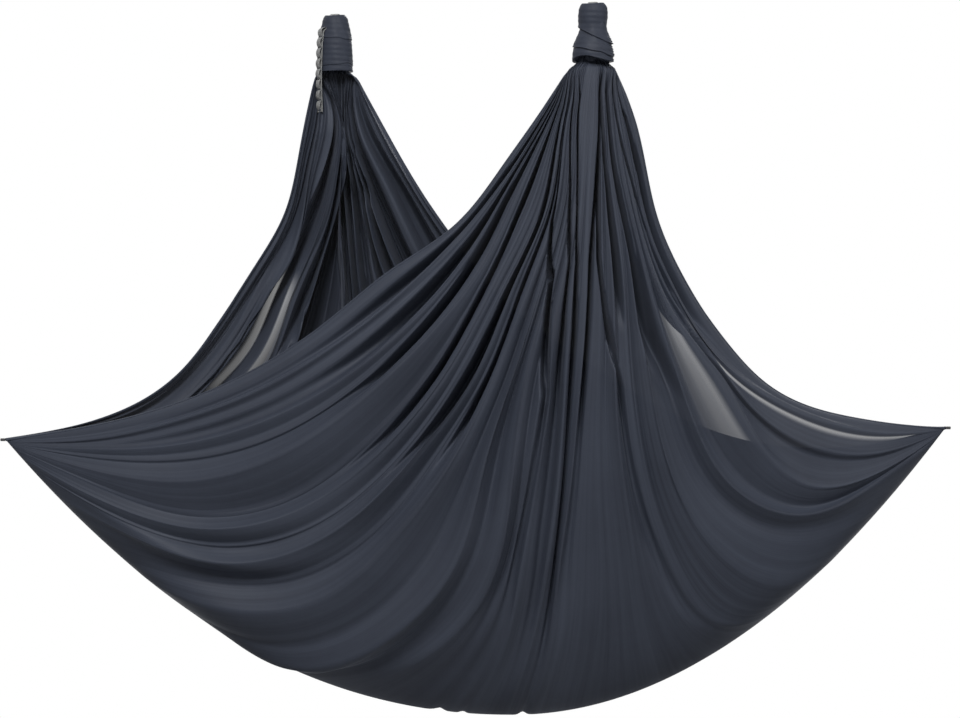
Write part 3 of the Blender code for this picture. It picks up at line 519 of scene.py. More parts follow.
REAR_TUCKS = (
    Tuck(0.050, 0.041, 0.75, 0.95, (2.6, 2.6, 2.6, 2.7, 2.6, 2.3, 2.1)),
    Tuck(0.070, 0.057, 0.95, 0.95, (4.8, 4.9, 5, 5.3, 5.3, 5.1, 5)),
    Tuck(0.080, 0.066, 0.28, 0.95, (6, 6.4, 6.9, 7.1, 6.8, 6.4, 5.9)),
    Tuck(0.085, 0.070, 0.32, 0.95, (6.6, 7.2, 7.7, 8.5, 9, 9.6, 9.9)),
    Tuck(0.085, 0.070, 0.28, 0.95, (12.2, 12, 11.4, 10.4, 10.5, 10.8, 11)),
    Tuck(0.085, 0.070, 0.26, 0.95, (13.2, 12.9, 12.5, 11.8, 11.7, 11.8, 12)),
    Tuck(0.085, 0.070, 0.24, 0.95, (14.5, 14.3, 14, 13.2, 12.8, 12.8, 13)),
    Tuck(0.085, 0.070, 0.26, 0.95, (15.4, 15.2, 14.9, 14.1, 13.8, 13.8, 14)),
    Tuck(0.075, 0.061, 0.24, 0.95, (16.2, 16, 15.8, 15, 14.8, 14.8, 15)),
    Tuck(0.060, 0.049, 0.45, 0.90, (16.9, 17, 16.9)),
    Tuck(0.040, 0.033, 1.00, 0.90, (18.9, 18.9, 18.9, 19)),
)


def bottom_fold(share: np.ndarray) -> tuple[np.ndarray, np.ndarray]:
    """X and Z along the bottom fold, from the left tip to the right one.

    Two power curves rise from the low point to the tips, with nicks like small bells,
    and their length is evened out into shares.

    Args:
        share: Share of the fold's length from the left tip.

    Returns:
        X and Z there.
    """
    across = np.linspace(LEFT_TIP[0], RIGHT_TIP[0], 2001)
    left = np.clip((LOW_POINT[0] - across) / (LOW_POINT[0] - LEFT_TIP[0]), 0.0, 1.0)
    right = np.clip((across - LOW_POINT[0]) / (RIGHT_TIP[0] - LOW_POINT[0]), 0.0, 1.0)
    up = LOW_POINT[1] + (LEFT_TIP[1] - LOW_POINT[1]) * left**LEFT_BOW
    up += (RIGHT_TIP[1] - LOW_POINT[1]) * right**RIGHT_BOW
    for place, rise, half_width in FOLD_NICKS:
        up += rise * np.exp(-(((across - place) / half_width) ** 2))
    length = np.concatenate([[0.0], np.cumsum(np.hypot(np.diff(across), np.diff(up)))])
    length /= length[-1]
    return np.interp(share, length, across), np.interp(share, length, up)


def steep(way: np.ndarray) -> np.ndarray:
    """A crest's fall on its shaded side: 1 - 0.65 u - 0.35 u^2 of the way u."""
    return 1.0 - 0.65 * way - 0.35 * way**2


def gentle(way: np.ndarray) -> np.ndarray:
    """A crest's climb on its lit side: 0.8 v + 0.2 v^4 of the way v."""
    return 0.8 * way + 0.2 * way**4


def row_ends(values: np.ndarray) -> tuple[np.ndarray, np.ndarray]:
    """Least and greatest value of each row."""
    return values.min(axis=1, keepdims=True), values.max(axis=1, keepdims=True)


@dataclass
class ClothPly:
    """One ply of the cloth: from its knot, through its folds, to the bottom fold.

    Attributes:
        name: The piece's name.
        ply: The way it faces.
        side: The knot it hangs from.
        folds: Its crests, from left to right.
        tucks: Cloth that is tucked in under the knot.
        thin: Stretches that let the light through.
        hem_half_width: Half the bundle's width at the knot.
        hem_gap: How far below the knot the crests begin.
        rows: Rows of points from the knot to the bottom fold.
        columns_per_fold: Columns of points from one crest to the next.
        collar_rows: Rows of points inside the knot's mouth.
        collar_rise: How far the cloth runs up into the mouth.
        collar_draw: Share by which it narrows there.
        fold_plane: Y of the bottom fold.
        half_gap: Half the gap between the plies at the bottom fold.
        billow: How far the ply bellies out.
        arch_power: Power of the belly's sine from edge to edge.
        bundle_half_depth: Half the bundle's depth at the knot.
        curl: Share by which the bundle's half round reaches further round, and its fall.
        neck: Share by which the bundle is drawn in to pass the mouth, and its fall.
        filled: Share by which the bundle's half round is flattened, and its fall.
        gathered: Slenderness of a gathered crest.
        gathered_depth: Greatest height of a gathered crest.
        gathered_until: Falls between which the gathers open out.
        centred_until: Falls between which the hollows leave the middle of their folds.
        crease: Power of the creases between ribs and between pleats.
        pleat_depth: Greatest height of the fine pleats.
        pleat_slenderness: Their greatest height over the spacing of the crests.
        pleated_until: Falls between which the pleats fade.
        lean: How far a crest leans over, as a share of its height.
        turning: Fold at which the shaded side changes over.
        hem_radius: Radius of the rolled hems.
    """

    name: str
    ply: Ply
    side: Side
    folds: tuple[Fold, ...]
    tucks: tuple[Tuck, ...]
    thin: tuple[ThinZone, ...] = ()
    hem_half_width: float = 0.049
    hem_gap: float = 0.0009
    rows: int = 232
    columns_per_fold: int = 16
    collar_rows: int = 6
    collar_rise: float = 0.022
    collar_draw: float = 0.12
    fold_plane: float = 0.115
    half_gap: float = 0.0006
    billow: float = 0.250
    arch_power: float = 0.8
    bundle_half_depth: float = 0.030
    curl: tuple[float, float] = (0.33, 0.06)
    neck: tuple[float, float] = (0.20, 0.010)
    filled: tuple[float, float] = (0.0, 0.12)
    gathered: float = 1.8
    gathered_depth: float = 0.005
    gathered_until: tuple[float, float] = (0.08, 0.58)
    centred_until: tuple[float, float] = (0.10, 0.45)
    crease: float = 5.0
    pleat_depth: float = 0.005
    pleat_slenderness: float = 0.8
    pleated_until: tuple[float, float] = (0.28, 0.80)
    lean: float = 0.16
    turning: float = 17.5
    hem_radius: float = 0.0026

    def each(self, name: str) -> np.ndarray:
        """One attribute of every fold, from left to right."""
        return np.array([getattr(fold, name) for fold in self.folds])

    def between(self, name: str, place: np.ndarray) -> np.ndarray:
        """One attribute of the folds, read straight between neighbouring crests."""
        return np.interp(place, np.arange(len(self.folds)), self.each(name))

    def cells(self, place: np.ndarray) -> tuple[np.ndarray, np.ndarray]:
        """The crest on the left of each place, and the part of the way to the next one."""
        cell = np.minimum(place.astype(int), len(self.folds) - 2)
        return cell, place - cell

    def falls(self) -> np.ndarray:
        """Share of the way down at each row, closer together at the knot and the bottom."""
        even = np.linspace(0.0, 1.0, self.rows)
        return 0.45 * even + 0.55 * (1.0 - np.cos(np.pi * even)) / 2.0

    def guides(self, fall: np.ndarray) -> np.ndarray:
        """Crest lines seen from the front: splines from the knot through the stations."""
        line = self.each("line")
        knot_x = SEATS[self.side][0] - self.hem_half_width * np.cos(np.pi * line)
        knot = np.stack([knot_x, np.full_like(line, -KNOT_HEIGHT - self.hem_gap)], axis=-1)
        stations = np.stack([self.each("across"), self.each("up")], axis=-1) / 1000.0
        end = np.stack(bottom_fold(self.each("share")), axis=-1)
        control = np.concatenate([knot[:, None], stations, end[:, None]], axis=1)
        knots = np.array([0.0, *STATIONS, 1.0])
        return spline_through(knots, control.swapaxes(0, 1), fall)

    def base(self, fall: np.ndarray, place: np.ndarray) -> tuple[np.ndarray, np.ndarray]:
        """The ply without its folds.

        Across and up lie straight between neighbouring crests, and run onto the bottom
        fold with fall^4. The depth runs from the knot's plane to the bottom fold's, plus a
        billow of a power of sin(pi share) times fall^0.8 sqrt(1 - fall^2), plus the round
        of the bundle, which fades cubically. The share goes with fall^2.2 from the place
        across the gathered cloth to that along the bottom fold.

        Args:
            fall: Share of the way down, shape (rows, 1).
            place: Fold number across, shape (columns,).

        Returns:
            The points, and each column's line across the gathered cloth.
        """
        cell, part = self.cells(place)
        line, end_share = self.between("line", place), self.between("share", place)
        crest = self.guides(fall[:, 0])
        flat = crest[:, cell] * (1.0 - part)[:, None] + crest[:, cell + 1] * part[:, None]
        end = np.stack(bottom_fold(end_share), axis=-1)
        flat = flat + (end - flat[-1]) * (fall**4)[..., None]
        gather = 1.0 - fall**2.2
        share = gather * line + (1.0 - gather) * end_share
        out = self.ply.value
        fold_y = self.fold_plane + out * self.half_gap
        arch = np.clip(np.sin(np.pi * share), 0.0, 1.0) ** self.arch_power
        belly = arch * fall**0.8 * np.sqrt(np.clip(1.0 - fall**2, 0.0, 1.0))
        depth = (1.0 - fall) * SEATS[self.side][1] + fall * fold_y + out * self.billow * belly
        bundle = np.sin(np.pi * line) - 0.5
        depth = depth + out * self.bundle_half_depth * bundle * (1.0 - fall) ** 3
        return np.stack([flat[..., 0], depth, flat[..., 1]], axis=-1), line

    def wrapped(self, points: np.ndarray, fall: np.ndarray, line: np.ndarray) -> np.ndarray:
        """Curl the bundle's edges in under the knot and draw it in to pass the mouth.

        The half round of the gathered cloth, angle pi line, is stretched about its middle
        by the curl. Each row is then stretched evenly across to the width it had, less
        what the neck draws in, and its half round is flattened where the bundle is filled.
        Each of the three fades within its own fall.

        Args:
            points: The ply's points, shape (rows, columns, 3).
            fall: Share of the way down, shape (rows, 1).
            line: Place across the gathered cloth, shape (columns,).

        Returns:
            The points, moved.
        """
        (curl, curl_fall), (neck, neck_fall), (fill, fill_fall) = self.curl, self.neck, self.filled
        angle = np.pi * line
        stretch = 1.0 + curl * (1.0 - ramp(0.0, curl_fall, fall))
        turned = np.pi / 2 + (angle - np.pi / 2) * stretch
        across = points[..., 0] - self.hem_half_width * (np.cos(turned) - np.cos(angle))
        (low, high), (near, far) = row_ends(points[..., 0]), row_ends(across)
        narrow = 1.0 - neck * (1.0 - ramp(0.0, neck_fall, fall))
        across = (low + high) / 2 + narrow * ((across - near) / (far - near) - 0.5) * (high - low)
        flat = 1.0 - fill * (1.0 - ramp(0.0, fill_fall, fall))
        round_in = flat * narrow * np.sin(turned) - np.sin(angle)
        depth = points[..., 1] + self.ply.value * self.bundle_half_depth * round_in
        return np.stack([across, depth, points[..., 2]], axis=-1)

    def collar(self, points: np.ndarray) -> np.ndarray:
        """Carry the first row up into the knot's mouth, narrowing on the way."""
        seat = SEATS[self.side][:2]
        rise = np.linspace(1.0, 0.0, self.collar_rows, endpoint=False)[:, None]
        first = points[:1]
        rows = seat + (first[..., :2] - seat) * (1.0 - self.collar_draw * rise)[..., None]
        return np.concatenate([np.dstack([rows, first[..., 2] + self.collar_rise * rise]), points])

    def outward(self, points: np.ndarray) -> np.ndarray:
        """Unit normals on the ply's outer side, never pointing back to the other ply."""
        normal = np.cross(np.gradient(points, axis=1), np.gradient(points, axis=0))
        out = self.ply.value
        middle = normal[points.shape[0] // 2, points.shape[1] // 2, 1]
        normal = unit(normal if middle * out > 0 else -normal)
        normal[..., 1] = out * np.maximum(out * normal[..., 1], 0.05)
        return unit(normal)

    def spacing(self, base: np.ndarray) -> np.ndarray:
        """Distance between neighbouring crests, row by row."""
        return np.linalg.norm(np.diff(base[:, :: self.columns_per_fold], axis=1), axis=-1)

    def crests(self, base: np.ndarray, fall: np.ndarray) -> tuple[np.ndarray, np.ndarray]:
        """How high each crest stands, and how tightly the cloth is gathered there.

        Spread out, a crest has its own depth; under the knot all of them near one
        gathered depth. None is higher than its slenderness times the spacing, which is
        the harmonic mean of the gaps on its two sides.
        """
        gap = self.spacing(base)
        before = np.concatenate([gap[:, :1], gap], axis=1)
        after = np.concatenate([gap, gap[:, -1:]], axis=1)
        spacing = 2.0 * before * after / np.maximum(before + after, 1e-6)
        slender, depth = self.each("slender"), self.each("depth")
        tight = 1.0 - ramp(*self.gathered_until, fall)
        packed = self.gathered_depth * self.each("packed")
        slender = slender + (self.gathered - slender) * tight
        depth = depth + (packed - depth) * tight
        return np.minimum(depth, slender * spacing), tight

    def pleats(
        self, fall: np.ndarray, place: np.ndarray, width: np.ndarray
    ) -> tuple[np.ndarray, np.ndarray]:
        """Height of the fine pleats, deep in some places only, and their own wave, 0 to 1."""
        deepest = self.pleat_depth * self.between("packed", place)
        fine = np.minimum(deepest, self.pleat_slenderness * width)
        fine = fine * (1.0 - ramp(*self.pleated_until, fall))
        fine = fine * np.clip(0.55 + 0.75 * wander(place * 0.8, fall * 2.5, 3), 0.0, 1.0)
        _, part = self.cells(place)
        bend = 0.12 * np.sin(7.0 * fall + 1.3 * place)
        return fine, np.abs(2.0 * ((part + bend) % 1.0) - 1.0) ** self.crease

    def unevenness(self, fall: np.ndarray, place: np.ndarray, width: np.ndarray) -> np.ndarray:
        """A slow unevenness below the gathers, at most 10 mm, or 12 % of the spacing."""
        slow = 0.5 + 0.5 * wander(place * 0.9, fall * 9.0, 5)
        return slow * np.minimum(0.010, 0.12 * width) * ramp(0.12, 0.5, fall) * (1 - fall**10)

    def folded(self, base: np.ndarray, fall: np.ndarray, place: np.ndarray) -> np.ndarray:
        """Raise the folds on the ply.

        Low down a crest falls steeply on its shaded side, on its way u to the hollow, and
        climbs gently on its lit side, on its way v. The shaded side is the lower one, so it
        changes over at the turning. Gathered, the folds are flat ribs with creases between,
        1/2 - t^5 of the way t to the hollow, and fine pleats of that form lie on them.
        A slow unevenness is added and the tucks are pushed in. The crests die out towards
        the bottom fold, and at the ply's two edges they stay behind its outline. Gathered
        cloth is pushed mostly along Y, so that its outline keeps to its guides.

        Args:
            base: The ply without its folds, shape (rows, columns, 3).
            fall: Share of the way down, shape (rows, 1).
            place: Fold number across, shape (columns,).

        Returns:
            The points, with the folds.
        """
        last = len(self.folds) - 1
        cell, part = self.cells(place)
        high, tight = self.crests(base, fall)
        here, after = high[:, cell], high[:, cell + 1]
        hollow = self.each("hollow")[cell]
        hollow = hollow + (0.5 - hollow) * (1.0 - ramp(*self.centred_until, fall))
        leaving = np.minimum(part / hollow, 1.0)
        nearing = np.clip((part - hollow) / (1.0 - hollow), 0.0, 1.0)
        leftward = ramp(self.turning - 0.5, self.turning + 0.5, place)
        falling = here * steep(leaving) + after * gentle(nearing)
        climbing = here * gentle(1.0 - leaving) + after * steep(1.0 - nearing)
        swag = falling * (1.0 - leftward) + climbing * leftward
        height = here * (1.0 - part) + after * part
        rib = height * (0.5 - (1.0 - np.abs(leaving + nearing - 1.0)) ** self.crease)
        width = self.spacing(base)[:, cell]
        fine, pleat = self.pleats(fall, place, width)
        calm = 1.0 - fall**4
        push = (swag * (1.0 - tight) + rib * tight) * calm + fine * (0.5 - pleat)
        push = push + self.unevenness(fall, place, width)
        for tuck in self.tucks:
            push = push - tuck.push(fall, place)
        rim = 1.0 - ramp(0.02, 0.16, np.minimum(place, last - place) / last)
        push = push - rim * tight * (0.55 * height + 0.5 * fine)
        tip = swag / np.maximum(height, 1e-6)
        lean = self.lean * height * np.minimum(tip, 1.0) ** 2 * calm * (1.0 - tight)
        lean = lean * (1.0 - 2.0 * leftward) * (1.0 - ramp(0.70, 0.92, fall))
        straight = np.array([0.0, self.ply.value, 0.0]) * (0.8 * tight)[..., None]
        facing = unit(self.outward(base) * (1.0 - 0.8 * tight)[..., None] + straight)
        side = unit(np.gradient(base, axis=1))
        return base + facing * push[..., None] + side * lean[..., None]

    def cover(self, fall: np.ndarray, place: np.ndarray) -> np.ndarray:
        """How much the cloth covers: all but a little, and less in its thin zones."""
        cover = np.broadcast_to(0.998 - 0.005 * ramp(0.35, 0.85, fall), (len(fall), len(place)))
        for zone in self.thin:
            share, thin = zone.blend(fall, place)
            cover = cover * (1.0 - share) + thin * share
        return cover

    def build(self, finish: "Finish") -> None:
        fall = self.falls()[:, None]
        last = len(self.folds) - 1
        place = np.linspace(0.0, last, last * self.columns_per_fold + 1)
        base, line = self.base(fall, place)
        points = self.folded(self.wrapped(base, fall, line), fall, place)
        points = self.collar(points)
        mouth = np.linspace(-self.collar_rise, 0.0, self.collar_rows, endpoint=False)
        drop = np.concatenate([mouth, fall[:, 0]])
        item = sheet_object(self.name, points, line * CLOTH_WIDTH, drop * PLY_LENGTH)
        mark(item, "cloth_cover", self.cover(np.clip(drop, 0.0, 1.0)[:, None], place))
        dress(item, finish, BODY)
        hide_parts(f"{self.ply.name.lower()}_panel")
        hems = [self.hem(points, column) for column in (0, -1)]
        for hem in hems:
            dress(hem, finish, BODY)
            mark(hem, "cloth_cover", np.ones(len(hem.data.vertices)))

    def hem(self, points: np.ndarray, column: int) -> bpy.types.Object:
        """A narrow rolled hem: a flattened round carried down the ply's side edge."""
        path = points[:, column]
        along = unit(np.gradient(path, axis=0))
        inward = unit(points[:, 1 if column == 0 else -2] - path)
        inward = unit(inward - along * (inward * along).sum(axis=-1, keepdims=True))
        outward = unit(np.cross(along, inward))
        profile = ring(self.hem_radius, 10) * np.array([1.5, 0.8])
        name = f"{self.name}_{'left' if column == 0 else 'right'}_hem"
        return swept(name, path, inward, outward, profile)


# ---------------------------------------------------------------- the knots


@dataclass(frozen=True)
class WrapEdge:
    """Lower edge of a turn of cloth round a knot.

    Attributes:
        height: Its middle height below the seat.
        tilt: How far it drops towards the side it leans to.
        lean: The way it leans, as an angle from local +X.
        step: How far the cloth above stands proud of the cloth below.
    """

    height: float
    tilt: float
    lean: float
    step: float


@dataclass
class Knot:
    """A knot: turns of cloth wound round the carabiner, hollow inside.

    Attributes:
        side: The end it is at.
        crown: Half width of its top.
        outline: Half width and height of the corners of its side.
        flattening: Its depth as a share of its width.
        edges: Lower edges of its turns of cloth.
        arch: How far its lowest edge rises at the front.
        seed: Start of its unevenness.
        crown_rounding: Radius of the top's rim.
        cavity_half_width: Half width of the carabiner's room.
        cavity_half_depth: Half depth of it.
        strap_way: Half width of the strap's way in at the top.
        cloth_way: Half width of the cloth's way out at the bottom.
        mouth: Depth below the seat where the way out starts to flare, and its slope.
        rim: How far below the seat its top starts; the sides of the top rise by as much.
        front: Where the lowest edge is arched, as an angle from local +X.
        mean_radius: Radius that the UV map is unrolled with.
        least_wall: Least thickness of the wound cloth.
        columns: Columns of points round the knot.
        outer_rows: Rows of points down its side.
    """

    side: Side
    crown: float
    outline: tuple[tuple[float, float], ...]
    flattening: float
    edges: tuple[WrapEdge, ...]
    arch: float
    seed: int
    crown_rounding: float = 0.018
    cavity_half_width: float = 0.0301
    cavity_half_depth: float = 0.01855
    strap_way: float = 0.022
    cloth_way: float = 0.0255
    mouth: tuple[float, float] = (0.1, 0.17)
    rim: float = 0.003
    front: float = math.radians(250.0)
    mean_radius: float = 0.04
    least_wall: float = 0.0012
    columns: int = 144
    outer_rows: int = 168

    def outside(self, height: np.ndarray) -> np.ndarray:
        """Half width of the knot at a height: a spline through its outline's corners."""
        points = np.array(self.outline)[::-1]
        return spline_through(points[:, 1], points[:, :1], np.ravel(height)).reshape(height.shape)

    def layers(self, angle: np.ndarray, height: np.ndarray) -> np.ndarray:
        """How far the turns stand out: each rises to its edge and drops behind it.

        Above an edge the rise is step e^(-d / 16 mm), below it the cloth is drawn in by
        0.45 step e^(-d / 7 mm), and near the side it leans to, creases 6 mm apart run
        along it within 14 mm. The turns themselves are 13 mm apart.
        """
        out = np.zeros_like(height)
        for number, edge in enumerate(self.edges):
            drop = edge.height - edge.tilt * np.cos(angle - edge.lean)
            drop = drop + 0.0014 * wander(2 * np.cos(angle), 2 * np.sin(angle), self.seed + number)
            above = height - drop
            cut = ramp(-0.0006, 0.0006, above)
            out = out + cut * edge.step * np.exp(-np.abs(above) / 0.016)
            out = out - (1.0 - cut) * 0.45 * edge.step * np.exp(-np.abs(above) / 0.007)
            near = np.clip(np.cos(angle - edge.lean), 0.0, 1.0) ** 3
            fade = np.exp(-((above / 0.014) ** 2))
            crease = np.sin(2 * np.pi * above / 0.0062 + 3 * np.sin(2 * angle + number))
            out = out + 0.30 * edge.step * near * fade * crease
        soft = wander(3 * np.cos(angle) + 40 * height, 3 * np.sin(angle), self.seed)
        turns = np.sin(2 * np.pi * (height / 0.013 + angle / (2 * np.pi)))
        return out + 0.0007 * soft + 0.00025 * turns

    def wrap(self) -> bpy.types.Object:
        """The wound cloth: one closed loop of rows down its outside and up its inside.

        Outside, a row is an ellipse as wide as the crown's rim or the outline. The crown
        rises at its sides, and the lowest edge is arched at the front.
        """
        angle = np.linspace(0.0, 2.0 * np.pi, self.columns, endpoint=False)[None, :]
        start = math.acos(1.0 - self.rim / self.crown_rounding)
        turn = np.linspace(start, np.pi / 2, 24, endpoint=False)
        rim_width = self.crown - self.crown_rounding * (1.0 - np.sin(turn))
        rim_height = -self.crown_rounding * (1.0 - np.cos(turn))
        straight = np.linspace(-self.crown_rounding, -KNOT_HEIGHT, self.outer_rows)
        height = np.concatenate([rim_height, straight])[:, None]
        width = np.concatenate([rim_width, self.outside(straight)])[:, None]
        rise = self.rim * np.cos(angle) ** 2 * (1.0 - ramp(0.0, 0.012, -height))
        front = np.clip(np.cos(angle - self.front), 0.0, 1.0) ** 2
        hem = self.arch * front * ramp(0.085, KNOT_HEIGHT, -height) ** 2
        settle = ramp(0.002, 0.012, -height) * (1.0 - 0.7 * ramp(0.138, KNOT_HEIGHT, -height))
        push = self.layers(angle, height + hem) * settle
        outer_x = (width + push) * np.cos(angle)
        outer_y = (width * self.flattening + push) * np.sin(angle)
        outer = np.dstack([outer_x, outer_y, height + rise + hem])
        body = np.concatenate([outer, self.inside(outer, angle)])
        around = np.linspace(0.0, 2 * np.pi * self.mean_radius, self.columns + 1)
        down = np.linspace(0.0, 2 * KNOT_HEIGHT, len(body) + 1)
        name = f"{self.side.value}_knot_wrap"
        item = sheet_object(name, hung(self.side, body), around, down)
        tidy(item)
        return item

    def inside(self, outer: np.ndarray, angle: np.ndarray) -> np.ndarray:
        """The hollow, from the hem up through the carabiner's room to the crown.

        A row is the superellipse |x / a|^6 + |y / b|^6 = 1, flared at the mouth, and keeps
        within the outer wall by the least wall, measured along its ray.
        """
        down = np.array(HOLLOW_ROWS)[:, None]
        room = (self.strap_way, self.strap_way, *[self.cavity_half_width] * 2, self.cloth_way)
        flare = self.mouth[1] * np.maximum(down - self.mouth[0], 0.0)
        below = down > self.mouth[0]
        wide = np.where(below, self.cloth_way + flare, np.interp(down, HOLLOW_CORNERS, room))
        deep = self.cavity_half_depth + flare
        power = 6.0
        ray = (np.abs(np.cos(angle)) / wide) ** power + (np.abs(np.sin(angle)) / deep) ** power
        outer_level = outer[:, self.columns // 4, 2]
        row = np.clip(np.searchsorted(-outer_level, down[:, 0]), 0, len(outer) - 1)
        limit = np.linalg.norm(outer[..., :2], axis=-1)[row]
        reach = np.minimum(ray ** (-1.0 / power), limit - self.least_wall)
        lift = (outer[row, :, 2] - outer_level[row][:, None]) * below
        return np.dstack([reach * np.cos(angle), reach * np.sin(angle), lift - down])

    def bight(self) -> bpy.types.Object:
        """The gathered cloth's turn over the carabiner's lower bar, inside the knot.

        Its path is an upside-down U round the bar. Its section is a flat oval with nine
        pleats to a side, and each of its points is raised by the bar's curve,
        r - sqrt(r^2 - x^2). The first end is drawn in; the other stays open in the knot.
        """
        reach, leg, bar_height = 0.0117, 0.0300, 0.1115
        half_width, half_thickness, count = 0.0152, 0.0058, 120
        bar_curve, bar_half = 0.021, 0.017
        bend = np.linspace(0.0, np.pi, 25)
        down = np.linspace(leg, 0.0, 9, endpoint=False)
        y = np.concatenate([np.full(9, reach), reach * np.cos(bend), np.full(9, -reach)])
        z = np.concatenate([-down, reach * np.sin(bend), -down[::-1]])
        path = np.stack([np.zeros_like(y), y, z - bar_height], axis=-1)
        along = unit(np.gradient(path, axis=0))
        across = np.broadcast_to([1.0, 0.0, 0.0], path.shape)
        outward = unit(np.cross(along, across))
        turn = np.linspace(0.0, 2.0 * np.pi, count, endpoint=False)
        pleat = 1.0 + 0.10 * np.cos(18 * turn) * (np.abs(np.sin(turn)) ** 0.5)
        wide = half_width * np.sign(np.cos(turn)) * np.abs(np.cos(turn)) ** 0.6
        thick = half_thickness * np.sign(np.sin(turn)) * np.abs(np.sin(turn)) ** 0.7 * pleat
        body = path[:, None] + across[:, None] * wide[:, None]
        body = body + outward[:, None] * thick[:, None]
        off_middle = np.minimum(body[..., 0] ** 2, bar_half**2)
        body[..., 2] += bar_curve - np.sqrt(bar_curve**2 - off_middle)
        body = np.concatenate([drawn_in(body[:1]), body])
        around = np.linspace(0.0, 0.08, count + 1)
        name = f"{self.side.value}_gathered_turn"
        down = np.linspace(0.0, 0.10, len(body))
        item = sheet_object(name, hung(self.side, body), around, down)
        tidy(item)
        return item

    def build(self, finishes: dict[str, "Finish"]) -> None:
        """Build the wrap and the gathered turn, in place of the plain solids."""
        wrap = self.wrap()
        dress(wrap, finishes["wrapped_tricot"], BODY)
        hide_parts(f"{self.side.value}_knot_cover")
        turn = self.bight()
        dress(turn, finishes["tricot_packed"], BODY)
        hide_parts(f"{self.side.value}_cloth_bight")


# ---------------------------------------------------------------- the straps


